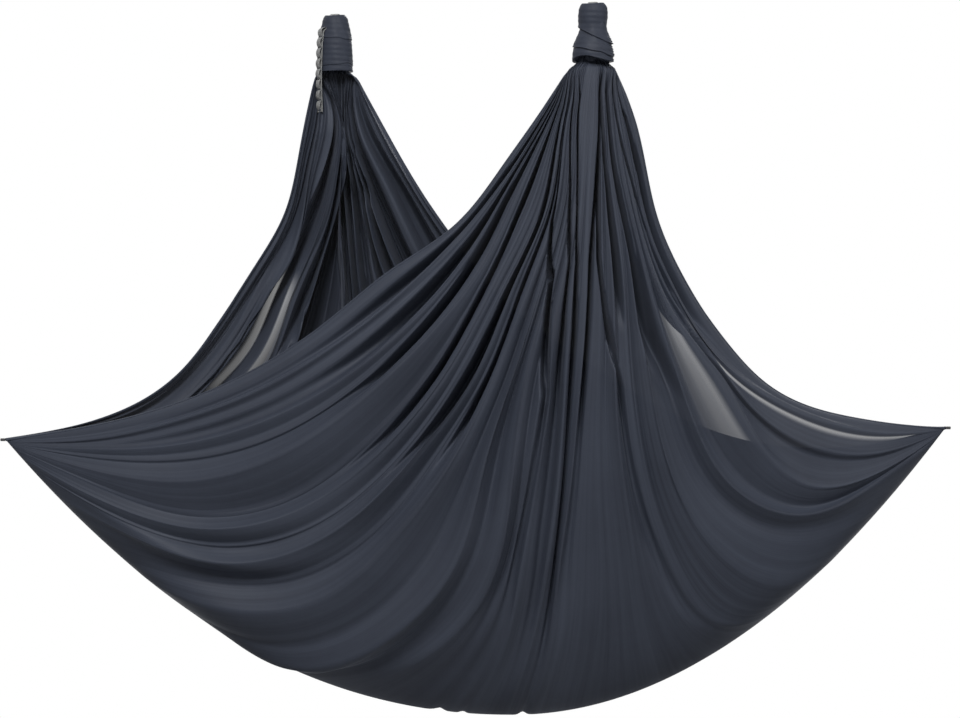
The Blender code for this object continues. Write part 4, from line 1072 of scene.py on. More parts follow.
@dataclass
class Strap:
    """The webbing at one end: the eye that takes the hook, and the strap's spare end.

    Attributes:
        side: The end it is at.
        knot: The knot that its spare end hangs down.
        tail_length: Length of the spare end.
        bearing: Where the spare end lies round the knot, as an angle from local +X.
        tail_top: Depth below the seat where it comes out.
        width: Width of the webbing.
        thickness: Thickness of the eye's webbing.
        eye_half_depth: Half the eye's opening across the bars.
        eye_corner: Radius of the opening's corners.
        eye_bottom: Height of the opening's bottom.
        ply_thickness: Thickness of the spare end and of its pockets.
        pocket_length: Length of a pocket between its bar tacks.
        pocket_rise: How far a pocket stands off.
        tack_half_length: Half the length of a bar tack, down the strap.
        tack_share: Its share of the webbing's width.
        tack_points: Points of its thread's zigzag.
        thread_radius: Radius of its thread.
        tail_points: Points down the spare end's route.
    """

    side: Side
    knot: Knot
    tail_length: float
    bearing: float
    tail_top: float = 0.034
    width: float = 0.022
    thickness: float = 0.0025
    eye_half_depth: float = 0.0070
    eye_corner: float = 0.0040
    eye_bottom: float = -0.0298
    ply_thickness: float = 0.0012
    pocket_length: float = 0.0262
    pocket_rise: float = 0.0058
    tack_half_length: float = 0.0014
    tack_share: float = 0.88
    tack_points: int = 31
    thread_radius: float = 0.00042
    tail_points: int = 220

    def turned(self, ways: np.ndarray) -> np.ndarray:
        """Turn directions of the knot's own frame to the hanging line."""
        return hung(self.side, ways) - hung(self.side, np.zeros(3))

    def eye(self) -> bpy.types.Object:
        """The closed eye: a rounded rectangle in the plane across the bars, swept flat."""
        half = self.thickness / 2
        radius = self.eye_corner + half
        side, top, bottom = self.eye_half_depth + half, half, self.eye_bottom - half
        turn = np.linspace(0.0, np.pi / 2, 9)
        corners = [
            np.stack([y + radius * np.cos(start + turn), z + radius * np.sin(start + turn)], -1)
            for y, z, start in (
                (side - radius, top - radius, 0.0),
                (-side + radius, top - radius, np.pi / 2),
                (-side + radius, bottom + radius, np.pi),
                (side - radius, bottom + radius, 1.5 * np.pi),
            )
        ]
        corner = np.concatenate(corners)
        path = np.column_stack([np.zeros(len(corner)), corner])
        middle = np.array([0.0, 0.0, (top + bottom) / 2])
        ahead = np.roll(path, -1, axis=0) - np.roll(path, 1, axis=0)
        across = np.broadcast_to([1.0, 0.0, 0.0], path.shape)
        outward = towards(unit(np.cross(across, ahead)), path - middle)
        band = flat_band(self.width, self.thickness)
        ways = self.turned(np.stack([across, outward]))
        name = f"{self.side.value}_strap_eye_loop"
        return swept(name, hung(self.side, path), *ways, band, closed=True)

    def tail_route(self, count: int) -> tuple[np.ndarray, np.ndarray, np.ndarray]:
        """Route of the spare end down the knot's side, with its across and outward ways.

        It starts 6 mm inside the wound cloth, keeps outside the knot's widest part above
        it, and waves a little where it hangs free.
        """
        out = np.array([math.cos(self.bearing), math.sin(self.bearing), 0.0])
        support = math.hypot(out[0], out[1] * self.knot.flattening)
        drop = np.linspace(self.tail_top, self.tail_top + self.tail_length, count)
        outline = np.array(self.knot.outline)
        half = np.interp(np.minimum(drop, KNOT_HEIGHT), -outline[:, 1], outline[:, 0])
        reach = np.maximum.accumulate(half) * support + 0.0005
        reach = reach - 0.006 * (1.0 - ramp(0.0, 0.010, drop - self.tail_top))
        reach = reach + 0.0022 * np.sin((drop - self.tail_top) * 24.0) * ramp(0.15, 0.24, drop)
        path = out * reach[:, None]
        path[:, 2] = -drop
        along = unit(np.gradient(path, axis=0))
        across = np.broadcast_to([-out[1], out[0], 0.0], path.shape)
        return path, across, towards(unit(np.cross(along, across)), out)

    def tail(self, finishes: dict[str, "Finish"]) -> None:
        """The spare end: a flat strap, the strap of pockets sewn to it, and its bar tacks.

        The pockets stand off the strap by rise |sin(pi s / pocket)|^0.7.
        """
        path, across, outward = self.tail_route(self.tail_points)
        run = np.concatenate([[0.0], np.cumsum(np.linalg.norm(np.diff(path, axis=0), axis=1))])
        half = self.ply_thickness / 2
        side = self.side.value
        turned = [self.turned(way) for way in (across, outward)]
        back = hung(self.side, path + outward * half)
        wave = np.abs(np.sin(np.pi * run / self.pocket_length)) ** 0.7
        lift = self.ply_thickness + half + self.pocket_rise * wave
        front = path + outward * lift[:, None]
        front_way = towards(unit(np.cross(np.gradient(front, axis=0), across)), outward)
        band = flat_band(self.width, self.ply_thickness, 16)
        strap = swept(f"{side}_tail_strap", back, *turned, band)
        narrow = flat_band(self.width * 0.96, self.ply_thickness, 16)
        ways = (turned[0], self.turned(front_way))
        pockets = swept(f"{side}_tail_pockets", hung(self.side, front), *ways, narrow)
        tacks = [
            self.bar_tack(f"{side}_tack_{number}", place, run, (front, across, outward))
            for number, place in enumerate(np.arange(0.0, run[-1] - 0.002, self.pocket_length))
        ]
        sewn = joined(f"{side}_bar_tacks", tacks)
        dress(strap, finishes["webbing"], BODY)
        dress(pockets, finishes["webbing"], BODY)
        dress(sewn, finishes["thread"], BODY)
        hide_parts(f"{side}_strap_tail")

    def bar_tack(
        self, name: str, place: float, run: np.ndarray, route: tuple[np.ndarray, ...]
    ) -> bpy.types.Object:
        """A bar tack: thread that zigzags over the pockets' strap from edge to edge.

        Args:
            name: The piece's name.
            place: Distance down the spare end.
            run: Distance down it at each point of its route.
            route: The pockets' points, and the across and outward ways there.

        Returns:
            The tack, still to be joined with the others.
        """
        front, across, outward = route
        zigzag = np.arange(self.tack_points)
        step = np.where(zigzag % 2, self.tack_half_length, -self.tack_half_length)
        at = np.clip(place + step, 0.0, run[-1])
        spot, way = (
            np.stack([np.interp(at, run, values[:, axis]) for axis in range(3)], axis=-1)
            for values in (front, outward)
        )
        share = zigzag / (self.tack_points - 1) - 0.5
        sideways = across[: len(at)] * (share * self.width * self.tack_share)[:, None]
        raised = self.ply_thickness / 2 + 0.0001
        path = hung(self.side, spot + sideways + way * raised)
        along = unit(np.gradient(path, axis=0))
        out = unit(self.turned(way))
        return swept(name, path, unit(np.cross(along, out)), out, ring(self.thread_radius, 6))

    def build(self, finishes: dict[str, "Finish"]) -> None:
        """Build the eye on its ceiling hook's seat and the spare end on the knot's side."""
        eye = self.eye()
        dress(eye, finishes["webbing"], "strap_eyes")
        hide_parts(f"{self.side.value}_strap_eye")
        self.tail(finishes)


# ---------------------------------------------------------------- shared shader groups

Colour = tuple[float, float, float, float]
WHITE: Colour = (1.0, 1.0, 1.0, 1.0)


class Nodes:
    """Adds nodes to one tree, in the order that they are needed."""

    def __init__(self, tree: bpy.types.NodeTree) -> None:
        """Start with an empty tree."""
        self.tree = tree
        tree.nodes.clear()

    def add(self, kind: str, inputs: dict | None = None, **settings: object) -> bpy.types.Node:
        """Add a node, set its options, and set or link its inputs by name or number.

        Args:
            kind: The node's type.
            inputs: Values, or output sockets to link from, by socket name or number.
            **settings: Options of the node itself.

        Returns:
            The new node.
        """
        node = self.tree.nodes.new(kind)
        for option, value in settings.items():
            setattr(node, option, value)
        for key, value in (inputs or {}).items():
            if isinstance(value, bpy.types.NodeSocket):
                self.tree.links.new(value, node.inputs[key])
            else:
                node.inputs[key].default_value = value
        return node

    def unrolled(self) -> bpy.types.NodeSocket:
        """Place on the unrolled piece, in metres."""
        return self.add("ShaderNodeUVMap", uv_map="unrolled").outputs[0]

    def place(self) -> bpy.types.NodeSocket:
        """Place in the object's own frame."""
        return self.add("ShaderNodeTexCoord").outputs["Object"]

    def math(self, operation: str, *values: object) -> bpy.types.NodeSocket:
        """Work out one number from others."""
        node = self.add("ShaderNodeMath", dict(enumerate(values)), operation=operation)
        return node.outputs[0]

    def blend(self, share: object, first: object, second: object) -> bpy.types.NodeSocket:
        """Mix two colours."""
        inputs = {0: share, 6: first, 7: second}
        return self.add("ShaderNodeMix", inputs, data_type="RGBA").outputs[2]

    def spread(self, value: object, low: float, high: float, *to: float) -> bpy.types.NodeSocket:
        """Map a number from one range to another, clamped."""
        inputs = {0: value, 1: low, 2: high, 3: to[0], 4: to[1]}
        return self.add("ShaderNodeMapRange", inputs).outputs[0]

    def stretched(self, vector: object, *scales: object) -> bpy.types.NodeSocket:
        """Scale a place by its own number along each axis."""
        scale = self.add("ShaderNodeCombineXYZ", dict(enumerate(scales))).outputs[0]
        inputs = {0: vector, 1: scale}
        return self.add("ShaderNodeVectorMath", inputs, operation="MULTIPLY").outputs[0]

    def noise(
        self, vector: object, scale: object, detail: float = 2.0, roughness: float = 0.5
    ) -> bpy.types.NodeSocket:
        """Cloudy noise, 0 to 1."""
        inputs = {"Vector": vector, "Scale": scale, "Detail": detail, "Roughness": roughness}
        return self.add("ShaderNodeTexNoise", inputs).outputs[0]

    def bump(
        self, strength: float, distance: float, height: object, normal: object | None = None
    ) -> bpy.types.NodeSocket:
        """Relief of a height, laid on another relief where one is given."""
        inputs = {"Strength": strength, "Distance": distance, "Height": height}
        if normal is not None:
            inputs["Normal"] = normal
        return self.add("ShaderNodeBump", inputs).outputs[0]

    def group(self, kind: "ShaderGroup", inputs: dict) -> bpy.types.Node:
        """Place a shared group with values of its own."""
        return self.add("ShaderNodeGroup", inputs, node_tree=shared(kind))

    def seen(self) -> bpy.types.NodeSocket:
        """1 for what is seen, straight, mirrored or through; 0 where it only gives light."""
        path = self.add("ShaderNodeLightPath").outputs
        seen = self.math("MAXIMUM", path["Is Camera Ray"], path["Is Glossy Ray"])
        return self.math("MAXIMUM", seen, path["Is Transmission Ray"])

    def surface(self, inputs: dict) -> None:
        """Add the surface shader with its values and links, and end the tree with it."""
        shader = self.add("ShaderNodeBsdfPrincipled", inputs)
        self.add("ShaderNodeOutputMaterial", {"Surface": shader.outputs[0]})

    def give(self, end: bpy.types.Node, outputs: dict[str, bpy.types.NodeSocket]) -> None:
        """Link a group's results to its output node."""
        for name, value in outputs.items():
            self.tree.links.new(value, end.inputs[name])


class ShaderGroup(Enum):
    """The shared effects, each built once."""

    TENSION = "tension_streaks"
    KNIT = "fine_knit"
    WEBBING = "webbing_weave"
    HANDLING = "handling_wear"
    BRUSHED = "brushed_metal"


def new_group(
    kind: ShaderGroup, inputs: dict[str, float | None], outputs: tuple[str, ...]
) -> tuple[Nodes, bpy.types.NodeInputs, bpy.types.Node]:
    """Start a shader node group with named sockets; an input of None is a vector.

    Args:
        kind: Which group it is.
        inputs: Its inputs' names and values.
        outputs: Its outputs' names.

    Returns:
        The group's nodes, the sockets to read its inputs from, and its output node.
    """
    tree = bpy.data.node_groups.new(kind.value, "ShaderNodeTree")
    for name, value in inputs.items():
        socket_type = "NodeSocketVector" if value is None else "NodeSocketFloat"
        socket = tree.interface.new_socket(name, in_out="INPUT", socket_type=socket_type)
        if value is not None:
            socket.default_value = value
    for name in outputs:
        tree.interface.new_socket(name, in_out="OUTPUT", socket_type="NodeSocketFloat")
    nodes = Nodes(tree)
    return nodes, nodes.add("NodeGroupInput").outputs, nodes.add("NodeGroupOutput")


def tension_group() -> bpy.types.NodeTree:
    """Streaks along the cloth where it is pulled: noise squeezed across and drawn out along."""
    inputs = {"Vector": None, "Across": 60.0, "Along": 1.6, "Unevenness": 0.5}
    nodes, given, end = new_group(ShaderGroup.TENSION, inputs, ("Height", "Shade"))
    drawn = nodes.stretched(given["Vector"], given["Across"], given["Along"])
    broad, fine = nodes.noise(drawn, 1.0), nodes.noise(drawn, 4.3, roughness=0.6)
    mixed = nodes.math("MULTIPLY_ADD", fine, 0.35, broad)
    height = nodes.spread(mixed, 0.35, 1.0, 0.0, 1.0)
    slow = nodes.noise(given["Vector"], 2.2, detail=1.0)
    shade = nodes.math("MULTIPLY_ADD", slow, given["Unevenness"], height)
    nodes.give(end, {"Height": height, "Shade": nodes.spread(shade, 0.2, 1.2, 0.0, 1.0)})
    return nodes.tree


def knit_group() -> bpy.types.NodeTree:
    """Fine knit: ribs across and stitches along, as two crossed waves multiplied."""
    inputs = {"Vector": None, "Ribs": 900.0, "Stitches": 700.0}
    nodes, given, end = new_group(ShaderGroup.KNIT, inputs, ("Height",))
    parts = nodes.add("ShaderNodeSeparateXYZ", {0: given["Vector"]}).outputs
    rib = nodes.math("MULTIPLY", parts[0], given["Ribs"])
    stitch = nodes.math("MULTIPLY", parts[1], given["Stitches"])
    rib_wave = nodes.math("ABSOLUTE", nodes.math("SINE", rib))
    slant = nodes.math("ADD", stitch, nodes.math("MULTIPLY", rib_wave, 0.9))
    stitch_wave = nodes.math("ABSOLUTE", nodes.math("SINE", slant))
    height = nodes.math("MULTIPLY", rib_wave, nodes.math("MULTIPLY_ADD", stitch_wave, 0.6, 0.4))
    nodes.give(end, {"Height": height})
    return nodes.tree


def webbing_group() -> bpy.types.NodeTree:
    """Webbing weave: warp ridges along the strap, broken by weft picks in a herringbone."""
    inputs = {"Vector": None, "Warp": 3600.0, "Weft": 2400.0}
    nodes, given, end = new_group(ShaderGroup.WEBBING, inputs, ("Height", "Shade"))
    parts = nodes.add("ShaderNodeSeparateXYZ", {0: given["Vector"]}).outputs
    warp = nodes.math("MULTIPLY", parts[0], given["Warp"])
    weft = nodes.math("MULTIPLY", parts[1], given["Weft"])
    ridge = nodes.math("ABSOLUTE", nodes.math("SINE", warp))
    bent = nodes.math("PINGPONG", nodes.math("MULTIPLY", warp, 0.25), 3.1416)
    pick = nodes.math("SINE", nodes.math("ADD", weft, bent))
    pick = nodes.math("MULTIPLY_ADD", pick, 0.5, 0.5)
    height = nodes.math("MULTIPLY", ridge, nodes.math("MULTIPLY_ADD", pick, 0.7, 0.3))
    # Shade is the height spread to 0 to 1; the webbing uses it to paint shade into its gaps.
    nodes.give(end, {"Height": height, "Shade": nodes.spread(height, 0.0, 0.8, 0.0, 1.0)})
    return nodes.tree


def handling_group() -> bpy.types.NodeTree:
    """Wear and dust from handling: soft blotches broken up by fine grain."""
    inputs = {"Vector": None, "Scale": 30.0, "Amount": 0.5}
    nodes, given, end = new_group(ShaderGroup.HANDLING, inputs, ("Mask",))
    blotch = nodes.noise(given["Vector"], given["Scale"], detail=4.0)
    grain = nodes.noise(given["Vector"], nodes.math("MULTIPLY", given["Scale"], 9.0))
    mask = nodes.spread(nodes.math("MULTIPLY_ADD", grain, 0.4, blotch), 0.55, 0.95, 0.0, 1.0)
    nodes.give(end, {"Mask": nodes.math("MULTIPLY", mask, given["Amount"])})
    return nodes.tree


def brushed_group() -> bpy.types.NodeTree:
    """Brushed metal: noise drawn out into scratches round the bar."""
    inputs = {"Vector": None, "Across": 2600.0, "Along": 90.0}
    nodes, given, end = new_group(ShaderGroup.BRUSHED, inputs, ("Height",))
    drawn = nodes.stretched(given["Vector"], given["Along"], given["Along"], given["Across"])
    nodes.give(end, {"Height": nodes.noise(drawn, 1.0, detail=3.0)})
    return nodes.tree


GROUP_MAKERS = {
    ShaderGroup.TENSION: tension_group,
    ShaderGroup.KNIT: knit_group,
    ShaderGroup.WEBBING: webbing_group,
    ShaderGroup.HANDLING: handling_group,
    ShaderGroup.BRUSHED: brushed_group,
}


def shared(kind: ShaderGroup) -> bpy.types.NodeTree:
    """Give a shared group, building it the first time."""
    return bpy.data.node_groups.get(kind.value) or GROUP_MAKERS[kind]()


# ---------------------------------------------------------------- the finishes


@dataclass(frozen=True)
class Finish:
    """A finish: makes its material once, and keeps a slot's name.

    Attributes:
        name: The material's name, without its first word.
        slot: The record's slot; not used.
    """

    name: str
    slot: str

    def draw(self, nodes: Nodes) -> None:
        """Draw the node tree."""
        raise NotImplementedError

    def material(self) -> bpy.types.Material:
        """Give the material, drawing it the first time; the frame has its own plain ones."""
        name = f"fine_{self.name}"
        found = bpy.data.materials.get(name)
        if found:
            return found
        made = bpy.data.materials.new(name)
        made.use_nodes = True
        self.draw(Nodes(made.node_tree))
        return made


@dataclass(frozen=True)
class Tricot(Finish):
    """Satin tricot: pulled streaks down the cloth, fine knit, a soft nap sheen.

    Attributes:
        lit: Colour of the smooth stretched cloth.
        deep: Colour where the cloth is packed.
        sheer: Whether the light comes through where the cloth_cover attribute is low.
        across: Streaks to the metre across the cloth.
        along: Streaks to the metre down it.
        relief: Height of the streaks.
        nap: Strength of the nap's sheen.
        gloss: Level of its plain reflection.
    """

    lit: Colour = (0.048, 0.056, 0.077, 1.0)
    deep: Colour = (0.027, 0.031, 0.044, 1.0)
    sheer: bool = False
    across: float = 42.0
    along: float = 0.9
    relief: float = 0.0011
    nap: float = 0.08
    gloss: float = 0.13

    def draw(self, nodes: Nodes) -> None:
        """Streaks shade the colour and roughness; streaks and knit make the bump."""
        uv, place = nodes.unrolled(), nodes.place()
        streak_inputs = {"Vector": uv, "Across": self.across, "Along": self.along}
        streaks = nodes.group(ShaderGroup.TENSION, streak_inputs)
        knit = nodes.group(ShaderGroup.KNIT, {"Vector": uv})
        worn = nodes.group(ShaderGroup.HANDLING, {"Vector": place, "Scale": 5.0})
        shade = streaks.outputs["Shade"]
        colour = nodes.blend(shade, self.deep, self.lit)
        dusty = tuple(1.25 * part for part in self.lit[:3]) + (1.0,)
        colour = nodes.blend(nodes.math("MULTIPLY", worn.outputs[0], 0.35), colour, dusty)
        pulled = nodes.bump(0.55, self.relief, streaks.outputs["Height"])
        inputs = {
            "Base Color": colour,
            "Roughness": nodes.spread(shade, 0.0, 1.0, 0.56, 0.44),
            "Normal": nodes.bump(0.25, 0.0002, knit.outputs["Height"], pulled),
            "Sheen Weight": self.nap,
            "Sheen Roughness": 0.38,
            "Sheen Tint": (0.55, 0.60, 0.75, 1.0),
            "Specular IOR Level": self.gloss,
        }
        if self.sheer:
            density = nodes.add("ShaderNodeAttribute", attribute_name="cloth_cover").outputs["Fac"]
            uneven = nodes.spread(shade, 0.0, 1.0, 1.25, 0.75)
            through = nodes.math("MULTIPLY", nodes.math("SUBTRACT", 1.0, density), uneven)
            inputs["Alpha"] = nodes.math("SUBTRACT", 1.0, through)
        nodes.surface(inputs)


@dataclass(frozen=True)
class Webbing(Finish):
    """Woven polyester webbing, pale and slightly soiled.

    Attributes:
        thread: Colour of the threads.
        gap: Colour between them: painted shade in the gaps of the weave.
        soil: Colour where it is soiled.
    """

    thread: Colour = (0.40, 0.41, 0.41, 1.0)
    gap: Colour = (0.14, 0.145, 0.15, 1.0)
    soil: Colour = (0.25, 0.24, 0.22, 1.0)

    def draw(self, nodes: Nodes) -> None:
        """The weave's low places take the gap colour as painted shade; soiling darkens it in blotches.
        """
        uv, place = nodes.unrolled(), nodes.place()
        weave = nodes.group(ShaderGroup.WEBBING, {"Vector": uv}).outputs
        soiled = nodes.group(ShaderGroup.HANDLING, {"Vector": place, "Scale": 45.0}).outputs[0]
        # Painted shade: the gap colour darkens the low places of the weave.
        colour = nodes.blend(weave["Shade"], self.gap, self.thread)
        inputs = {
            "Base Color": nodes.blend(soiled, colour, self.soil),
            "Roughness": nodes.spread(weave["Shade"], 0.0, 1.0, 0.92, 0.70),
            "Normal": nodes.bump(0.8, 0.0004, weave["Height"]),
            "Sheen Weight": 0.15,
        }
        nodes.surface(inputs)


@dataclass(frozen=True)
class Metal(Finish):
    """Brushed metal with handling marks that dull it.

    Attributes:
        colour: Colour of the clean metal.
        dulled: Colour where it is handled.
        smooth: Roughness of the clean metal.
        rough: Roughness where it is handled.
        relief: Depth of the brushing.
    """

    colour: Colour
    dulled: Colour
    smooth: float
    rough: float
    relief: float = 0.00006

    def draw(self, nodes: Nodes) -> None:
        """Brushing makes the bump; handling changes the colour and the roughness."""
        place = nodes.place()
        brushed = nodes.group(ShaderGroup.BRUSHED, {"Vector": place}).outputs[0]
        marks = {"Vector": place, "Scale": 90.0, "Amount": 0.9}
        mask = nodes.group(ShaderGroup.HANDLING, marks).outputs[0]
        inputs = {
            "Base Color": nodes.blend(mask, self.colour, self.dulled),
            "Metallic": 1.0,
            "Roughness": nodes.spread(mask, 0.0, 1.0, self.smooth, self.rough),
            "Normal": nodes.bump(0.6, self.relief, brushed),
        }
        nodes.surface(inputs)


@dataclass(frozen=True)
class Moulded(Finish):
    """Moulded black plastic with a fine grain and rubbed patches.

    Attributes:
        colour: Colour of the plastic.
        rubbed: Colour where it is rubbed.
    """

    colour: Colour = (0.018, 0.018, 0.020, 1.0)
    rubbed: Colour = (0.060, 0.060, 0.064, 1.0)

    def draw(self, nodes: Nodes) -> None:
        """Rubbing lightens and smooths the plastic; a fine noise is its grain."""
        place = nodes.place()
        marks = {"Vector": place, "Scale": 140.0, "Amount": 0.8}
        mask = nodes.group(ShaderGroup.HANDLING, marks).outputs[0]
        inputs = {
            "Base Color": nodes.blend(mask, self.colour, self.rubbed),
            "Roughness": nodes.spread(mask, 0.0, 1.0, 0.58, 0.36),
            "Normal": nodes.bump(0.4, 0.00008, nodes.noise(place, 2600.0)),
        }
        nodes.surface(inputs)


@dataclass(frozen=True)
class Thread(Finish):
    """Dark sewing thread, twisted.

    Attributes:
        colour: Colour between the twists, darker as painted shade in the grooves.
        light: Colour on them.
    """

    colour: Colour = (0.030, 0.031, 0.036, 1.0)
    light: Colour = (0.085, 0.088, 0.098, 1.0)

    def draw(self, nodes: Nodes) -> None:
        """The twist is a wave wound round the thread on its own UV map."""
        wound = {"Vector": nodes.unrolled(), "Ribs": 2400.0, "Stitches": 5200.0}
        twist = nodes.group(ShaderGroup.KNIT, wound).outputs[0]
        inputs = {
            # Painted shade: the grooves between the twists take the darker colour.
            "Base Color": nodes.blend(twist, self.colour, self.light),
            "Roughness": nodes.spread(twist, 0.0, 1.0, 0.7, 0.5),
            "Normal": nodes.bump(0.6, 0.0001, twist),
        }
        nodes.surface(inputs)


def palette() -> dict[str, Finish]:
    """Every finish of the hammock, by a short name."""
    made = (
        Tricot("sheer_tricot", "tricot", sheer=True),
        Tricot("tricot_packed", "tricot", across=90.0, along=6.0, relief=0.0008),
        Tricot(
            "wrapped_tricot",
            "wrapped_tricot",
            (0.038, 0.044, 0.061, 1.0),
            (0.030, 0.034, 0.047, 1.0),
            across=30.0,
            along=26.0,
            relief=0.0006,
            nap=0.05,
            gloss=0.10,
        ),
        Webbing("webbing", "webbing"),
        Thread("thread", "webbing"),
        Metal(
            "carabiner_steel",
            "carabiner_steel",
            (0.60, 0.61, 0.62, 1.0),
            (0.42, 0.42, 0.42, 1.0),
            0.24,
            0.46,
        ),
        Metal(
            "lock_metal",
            "lock_metal",
            (0.17, 0.18, 0.20, 1.0),
            (0.30, 0.30, 0.31, 1.0),
            0.34,
            0.55,
            0.00020,
        ),
        Moulded("grip_plastic", "grip_plastic"),
    )
    return {finish.name: finish for finish in made}


def dress(item: bpy.types.Object, finish: Finish, body: str) -> None:
    """Give a new piece its finish's material, and let it ride on its body."""
    item.data.materials.clear()
    item.data.materials.append(finish.material())
    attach(item, body)
    LOG.info("%s: %d faces on %s", item.name, len(item.data.polygons), body)


@dataclass
class Hardware:
    """The carabiners, their screw locks and the edge clips, whose solids stay as packed."""

    steel_parts: tuple[str, ...] = ("carabiner_frame", "carabiner_gate", "gate_pin")
    lock_part: str = "lock_sleeve"
    clip_part: str = "edge_clip"

    def build(self, finishes: dict[str, Finish]) -> None:
        """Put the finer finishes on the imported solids' own material slots."""
        for side in Side:
            for part in self.steel_parts:
                self.refinish(f"{side.value}_{part}", finishes["carabiner_steel"])
            self.refinish(f"{side.value}_{self.lock_part}", finishes["lock_metal"])
            self.refinish(f"{side.value}_{self.clip_part}", finishes["grip_plastic"])

    def refinish(self, node: str, finish: Finish) -> None:
        """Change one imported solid's material."""
        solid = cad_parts[node]
        for place in solid.material_slots:
            place.material = finish.material()
        LOG.info("%s: refinished with %s", node, finish.name)


# ---------------------------------------------------------------- camera, floor, light


@dataclass
class Studio:
    """The camera, a pale floor, soft lamps and a white surround.

    Attributes:
        camera_place: Where the camera stands.
        lens: Its focal length in millimetres.
        middle: What the lamps are aimed at.
        floor_height: Height of the floor.
        floor_middle: X and Y of the floor's middle.
        floor_radius: Radius of the floor.
        floor_colour: Its colour.
        ambient: Strength of the surround's light on the cloth.
    """

    camera_place: tuple[float, float, float] = (-0.272, -5.995, -0.857)
    lens: float = 93.375
    middle: tuple[float, float, float] = (-0.28, 0.10, -1.0)
    floor_height: float = -2.60
    floor_middle: tuple[float, float] = (-0.28, 0.1)
    floor_radius: float = 3.85
    floor_colour: Colour = (0.60, 0.60, 0.60, 1.0)
    ambient: float = 0.07

    def camera(self) -> None:
        """Stand the camera level, looking along +Y."""
        data = bpy.data.cameras.new("camera")
        data.lens = self.lens
        data.sensor_width = 36.0
        data.clip_end = 60.0
        item = linked("camera", data)
        item.location = self.camera_place
        item.rotation_euler = (math.pi / 2, 0.0, 0.0)
        bpy.context.scene.camera = item

    def floor(self) -> None:
        """A disc that melts into the white surround at its rim, as seen by the camera."""
        radius = np.concatenate([[0.0], np.linspace(0.15, self.floor_radius, 40)])[:, None]
        turn = np.linspace(0.0, 2 * np.pi, 96, endpoint=False)[None, :]
        x = radius * np.cos(turn) + self.floor_middle[0]
        y = radius * np.sin(turn) + self.floor_middle[1]
        points = np.dstack([x, y, np.full_like(x, self.floor_height)])
        around = np.linspace(0.0, 2 * np.pi * self.floor_radius, 97)
        item = sheet_object("floor", points, around, radius[:, 0])
        tidy(item)
        if item.data.polygons[0].normal.z < 0:
            item.data.flip_normals()
        item.data.materials.append(self.pale_floor())
        item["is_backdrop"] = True

    def pale_floor(self) -> bpy.types.Material:
        """The floor's material: dull and pale, and glowing white towards its rim."""
        made = bpy.data.materials.new("pale_floor")
        made.use_nodes = True
        nodes = Nodes(made.node_tree)
        out = nodes.add("ShaderNodeSeparateXYZ", {0: nodes.unrolled()}).outputs[1]
        fade = nodes.spread(out, self.floor_radius * 0.45, self.floor_radius * 0.98, 0.0, 1.0)
        share = nodes.math("MULTIPLY", fade, nodes.seen())
        dull = {"Base Color": self.floor_colour, "Roughness": 0.8, "Specular IOR Level": 0.1}
        plain = nodes.add("ShaderNodeBsdfPrincipled", dull).outputs[0]
        glow = nodes.add("ShaderNodeEmission", {"Color": WHITE, "Strength": 1.0}).outputs[0]
        mixed = nodes.add("ShaderNodeMixShader", {0: share, 1: plain, 2: glow}).outputs[0]
        nodes.add("ShaderNodeOutputMaterial", {"Surface": mixed})
        return made

    def surround(self) -> None:
        """White where it is seen, and a soft grey where it lights the cloth."""
        world = bpy.data.worlds.new("surround")
        bpy.context.scene.world = world
        world.use_nodes = True
        nodes = Nodes(world.node_tree)
        strength = nodes.spread(nodes.seen(), 0.0, 1.0, self.ambient, 1.0)
        light = nodes.add("ShaderNodeBackground", {"Color": WHITE, "Strength": strength})
        nodes.add("ShaderNodeOutputWorld", {"Surface": light.outputs[0]})

    def lamp(
        self,
        name: str,
        place: tuple[float, float, float],
        size: tuple[float, float],
        power: float,
    ) -> None:
        """Hang one soft rectangular lamp and aim it at the middle."""
        data = bpy.data.lights.new(name, "AREA")
        data.shape = "RECTANGLE"
        data.size, data.size_y = size
        data.energy = power
        item = linked(name, data)
        item.location = place
        aim = np.array(self.middle) - np.array(place)
        flat = math.hypot(aim[0], aim[1])
        item.rotation_euler = (math.atan2(flat, -aim[2]), 0.0, math.atan2(-aim[0], aim[1]))

    def build(self) -> None:
        """Set up the whole studio."""
        bpy.context.scene.view_settings.view_transform = "Standard"
        self.camera()
        self.floor()
        self.surround()
        self.lamp("key", (-1.1, -4.2, 3.2), (1.8, 1.8), 275.0)
        self.lamp("fill", (3.2, -3.6, 2.2), (2.6, 2.6), 78.0)
        self.lamp("rim", (0.6, 4.2, 2.6), (3.0, 1.6), 110.0)


# ---------------------------------------------------------------- the whole hammock


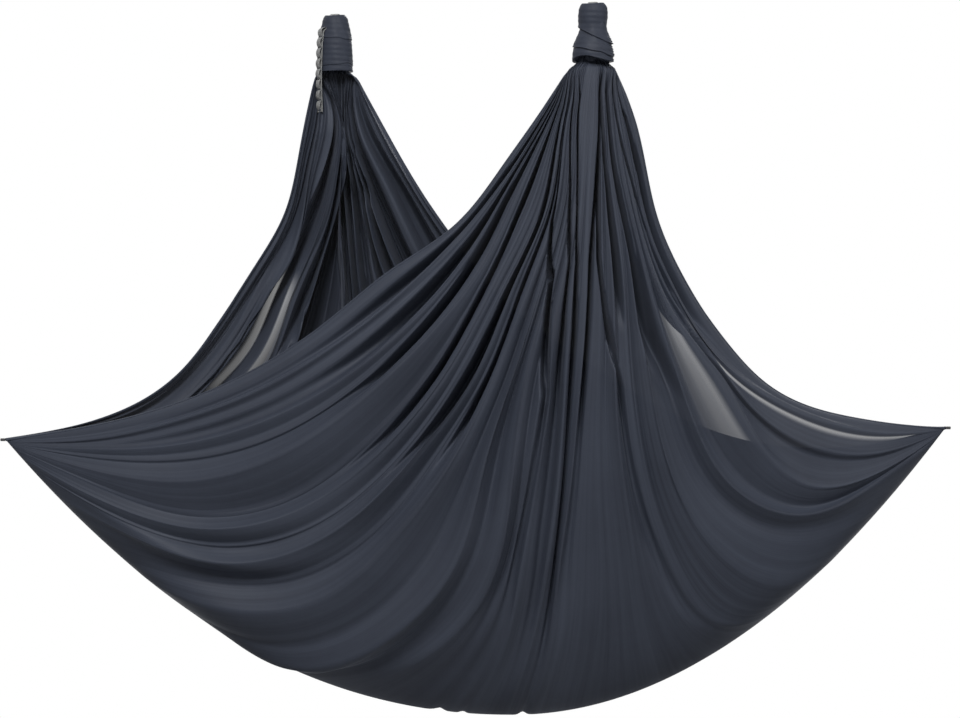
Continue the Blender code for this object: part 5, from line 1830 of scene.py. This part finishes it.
def hammock_parts() -> tuple[tuple[ClothPly, ...], tuple[Knot, ...], tuple[Strap, ...]]:
    """The hammock's own parts, with their sizes."""
    front = ClothPly(
        "front_cloth",
        Ply.FRONT,
        Side.RIGHT,
        FRONT_FOLDS,
        FRONT_TUCKS,
        thin=(
            ThinZone(20.55, 20.87, 0.325, 0.66, (0.50, 0.05), (0.60, 0.88)),
            ThinZone(22.67, 22.78, 0.48, 0.96, (0.10, 0.03), (0.58, 0.76)),
        ),
        arch_power=0.52,
    )
    rear = ClothPly(
        "rear_cloth",
        Ply.REAR,
        Side.LEFT,
        REAR_FOLDS,
        REAR_TUCKS,
        thin=(
            ThinZone(3.55, 4.00, 0.38, 0.62, (0.30, 0.05), (0.76, 0.90)),
            ThinZone(4.50, 4.95, 0.38, 0.62, (0.05, 0.35), (0.74, 0.90)),
        ),
        hem_half_width=0.044,
        columns_per_fold=19,
        gathered_depth=0.020,
        filled=(0.85, 0.12),
        pleat_depth=0.030,
        pleat_slenderness=2.0,
        pleated_until=(0.40, 0.90),
        turning=18.5,
    )
    left = Knot(
        Side.LEFT,
        crown=0.0330,
        outline=(
            (0.0330, -0.018),
            (0.0390, -0.045),
            (0.04275, -0.071),
            (0.0446, -0.105),
            (0.0460, -0.142),
        ),
        flattening=0.8054,
        edges=(WrapEdge(-0.060, 0.004, 0.4, 0.0012), WrapEdge(-0.128, -0.004, 0.0, 0.0012)),
        arch=0.0,
        seed=11,
    )
    right = Knot(
        Side.RIGHT,
        crown=0.0350,
        outline=(
            (0.0350, -0.018),
            (0.0358, -0.036),
            (0.0340, -0.062),
            (0.0404, -0.082),
            (0.04675, -0.102),
            (0.0500, -0.124),
            (0.0510, -0.142),
        ),
        flattening=0.7265,
        edges=(WrapEdge(-0.080, 0.021, 0.1, 0.0034), WrapEdge(-0.117, 0.013, 0.1, 0.0026)),
        arch=0.013,
        seed=23,
    )
    straps = (
        Strap(Side.LEFT, left, tail_length=0.210, bearing=math.radians(228.0)),
        Strap(Side.RIGHT, right, tail_length=0.120, bearing=math.radians(68.0)),
    )
    return (front, rear), (left, right), straps


def main() -> None:
    """Build the studio, the knots, the cloth, the straps and the hardware, in that order."""
    logging.basicConfig(level=logging.INFO, format="%(name)s: %(message)s")
    finishes = palette()
    Studio().build()
    plies, knots, straps = hammock_parts()
    for knot in knots:
        knot.build(finishes)
    for ply in plies:
        ply.build(finishes["sheer_tricot"])
    for strap in straps:
        strap.build(finishes)
    Hardware().build(finishes)
    sizes = {"cad": CAD_BOX, "visual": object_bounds()}
    sizes = {name: [[float(part) for part in corner] for corner in box] for name, box in sizes.items()}


if __name__ == "__main__":
    main()
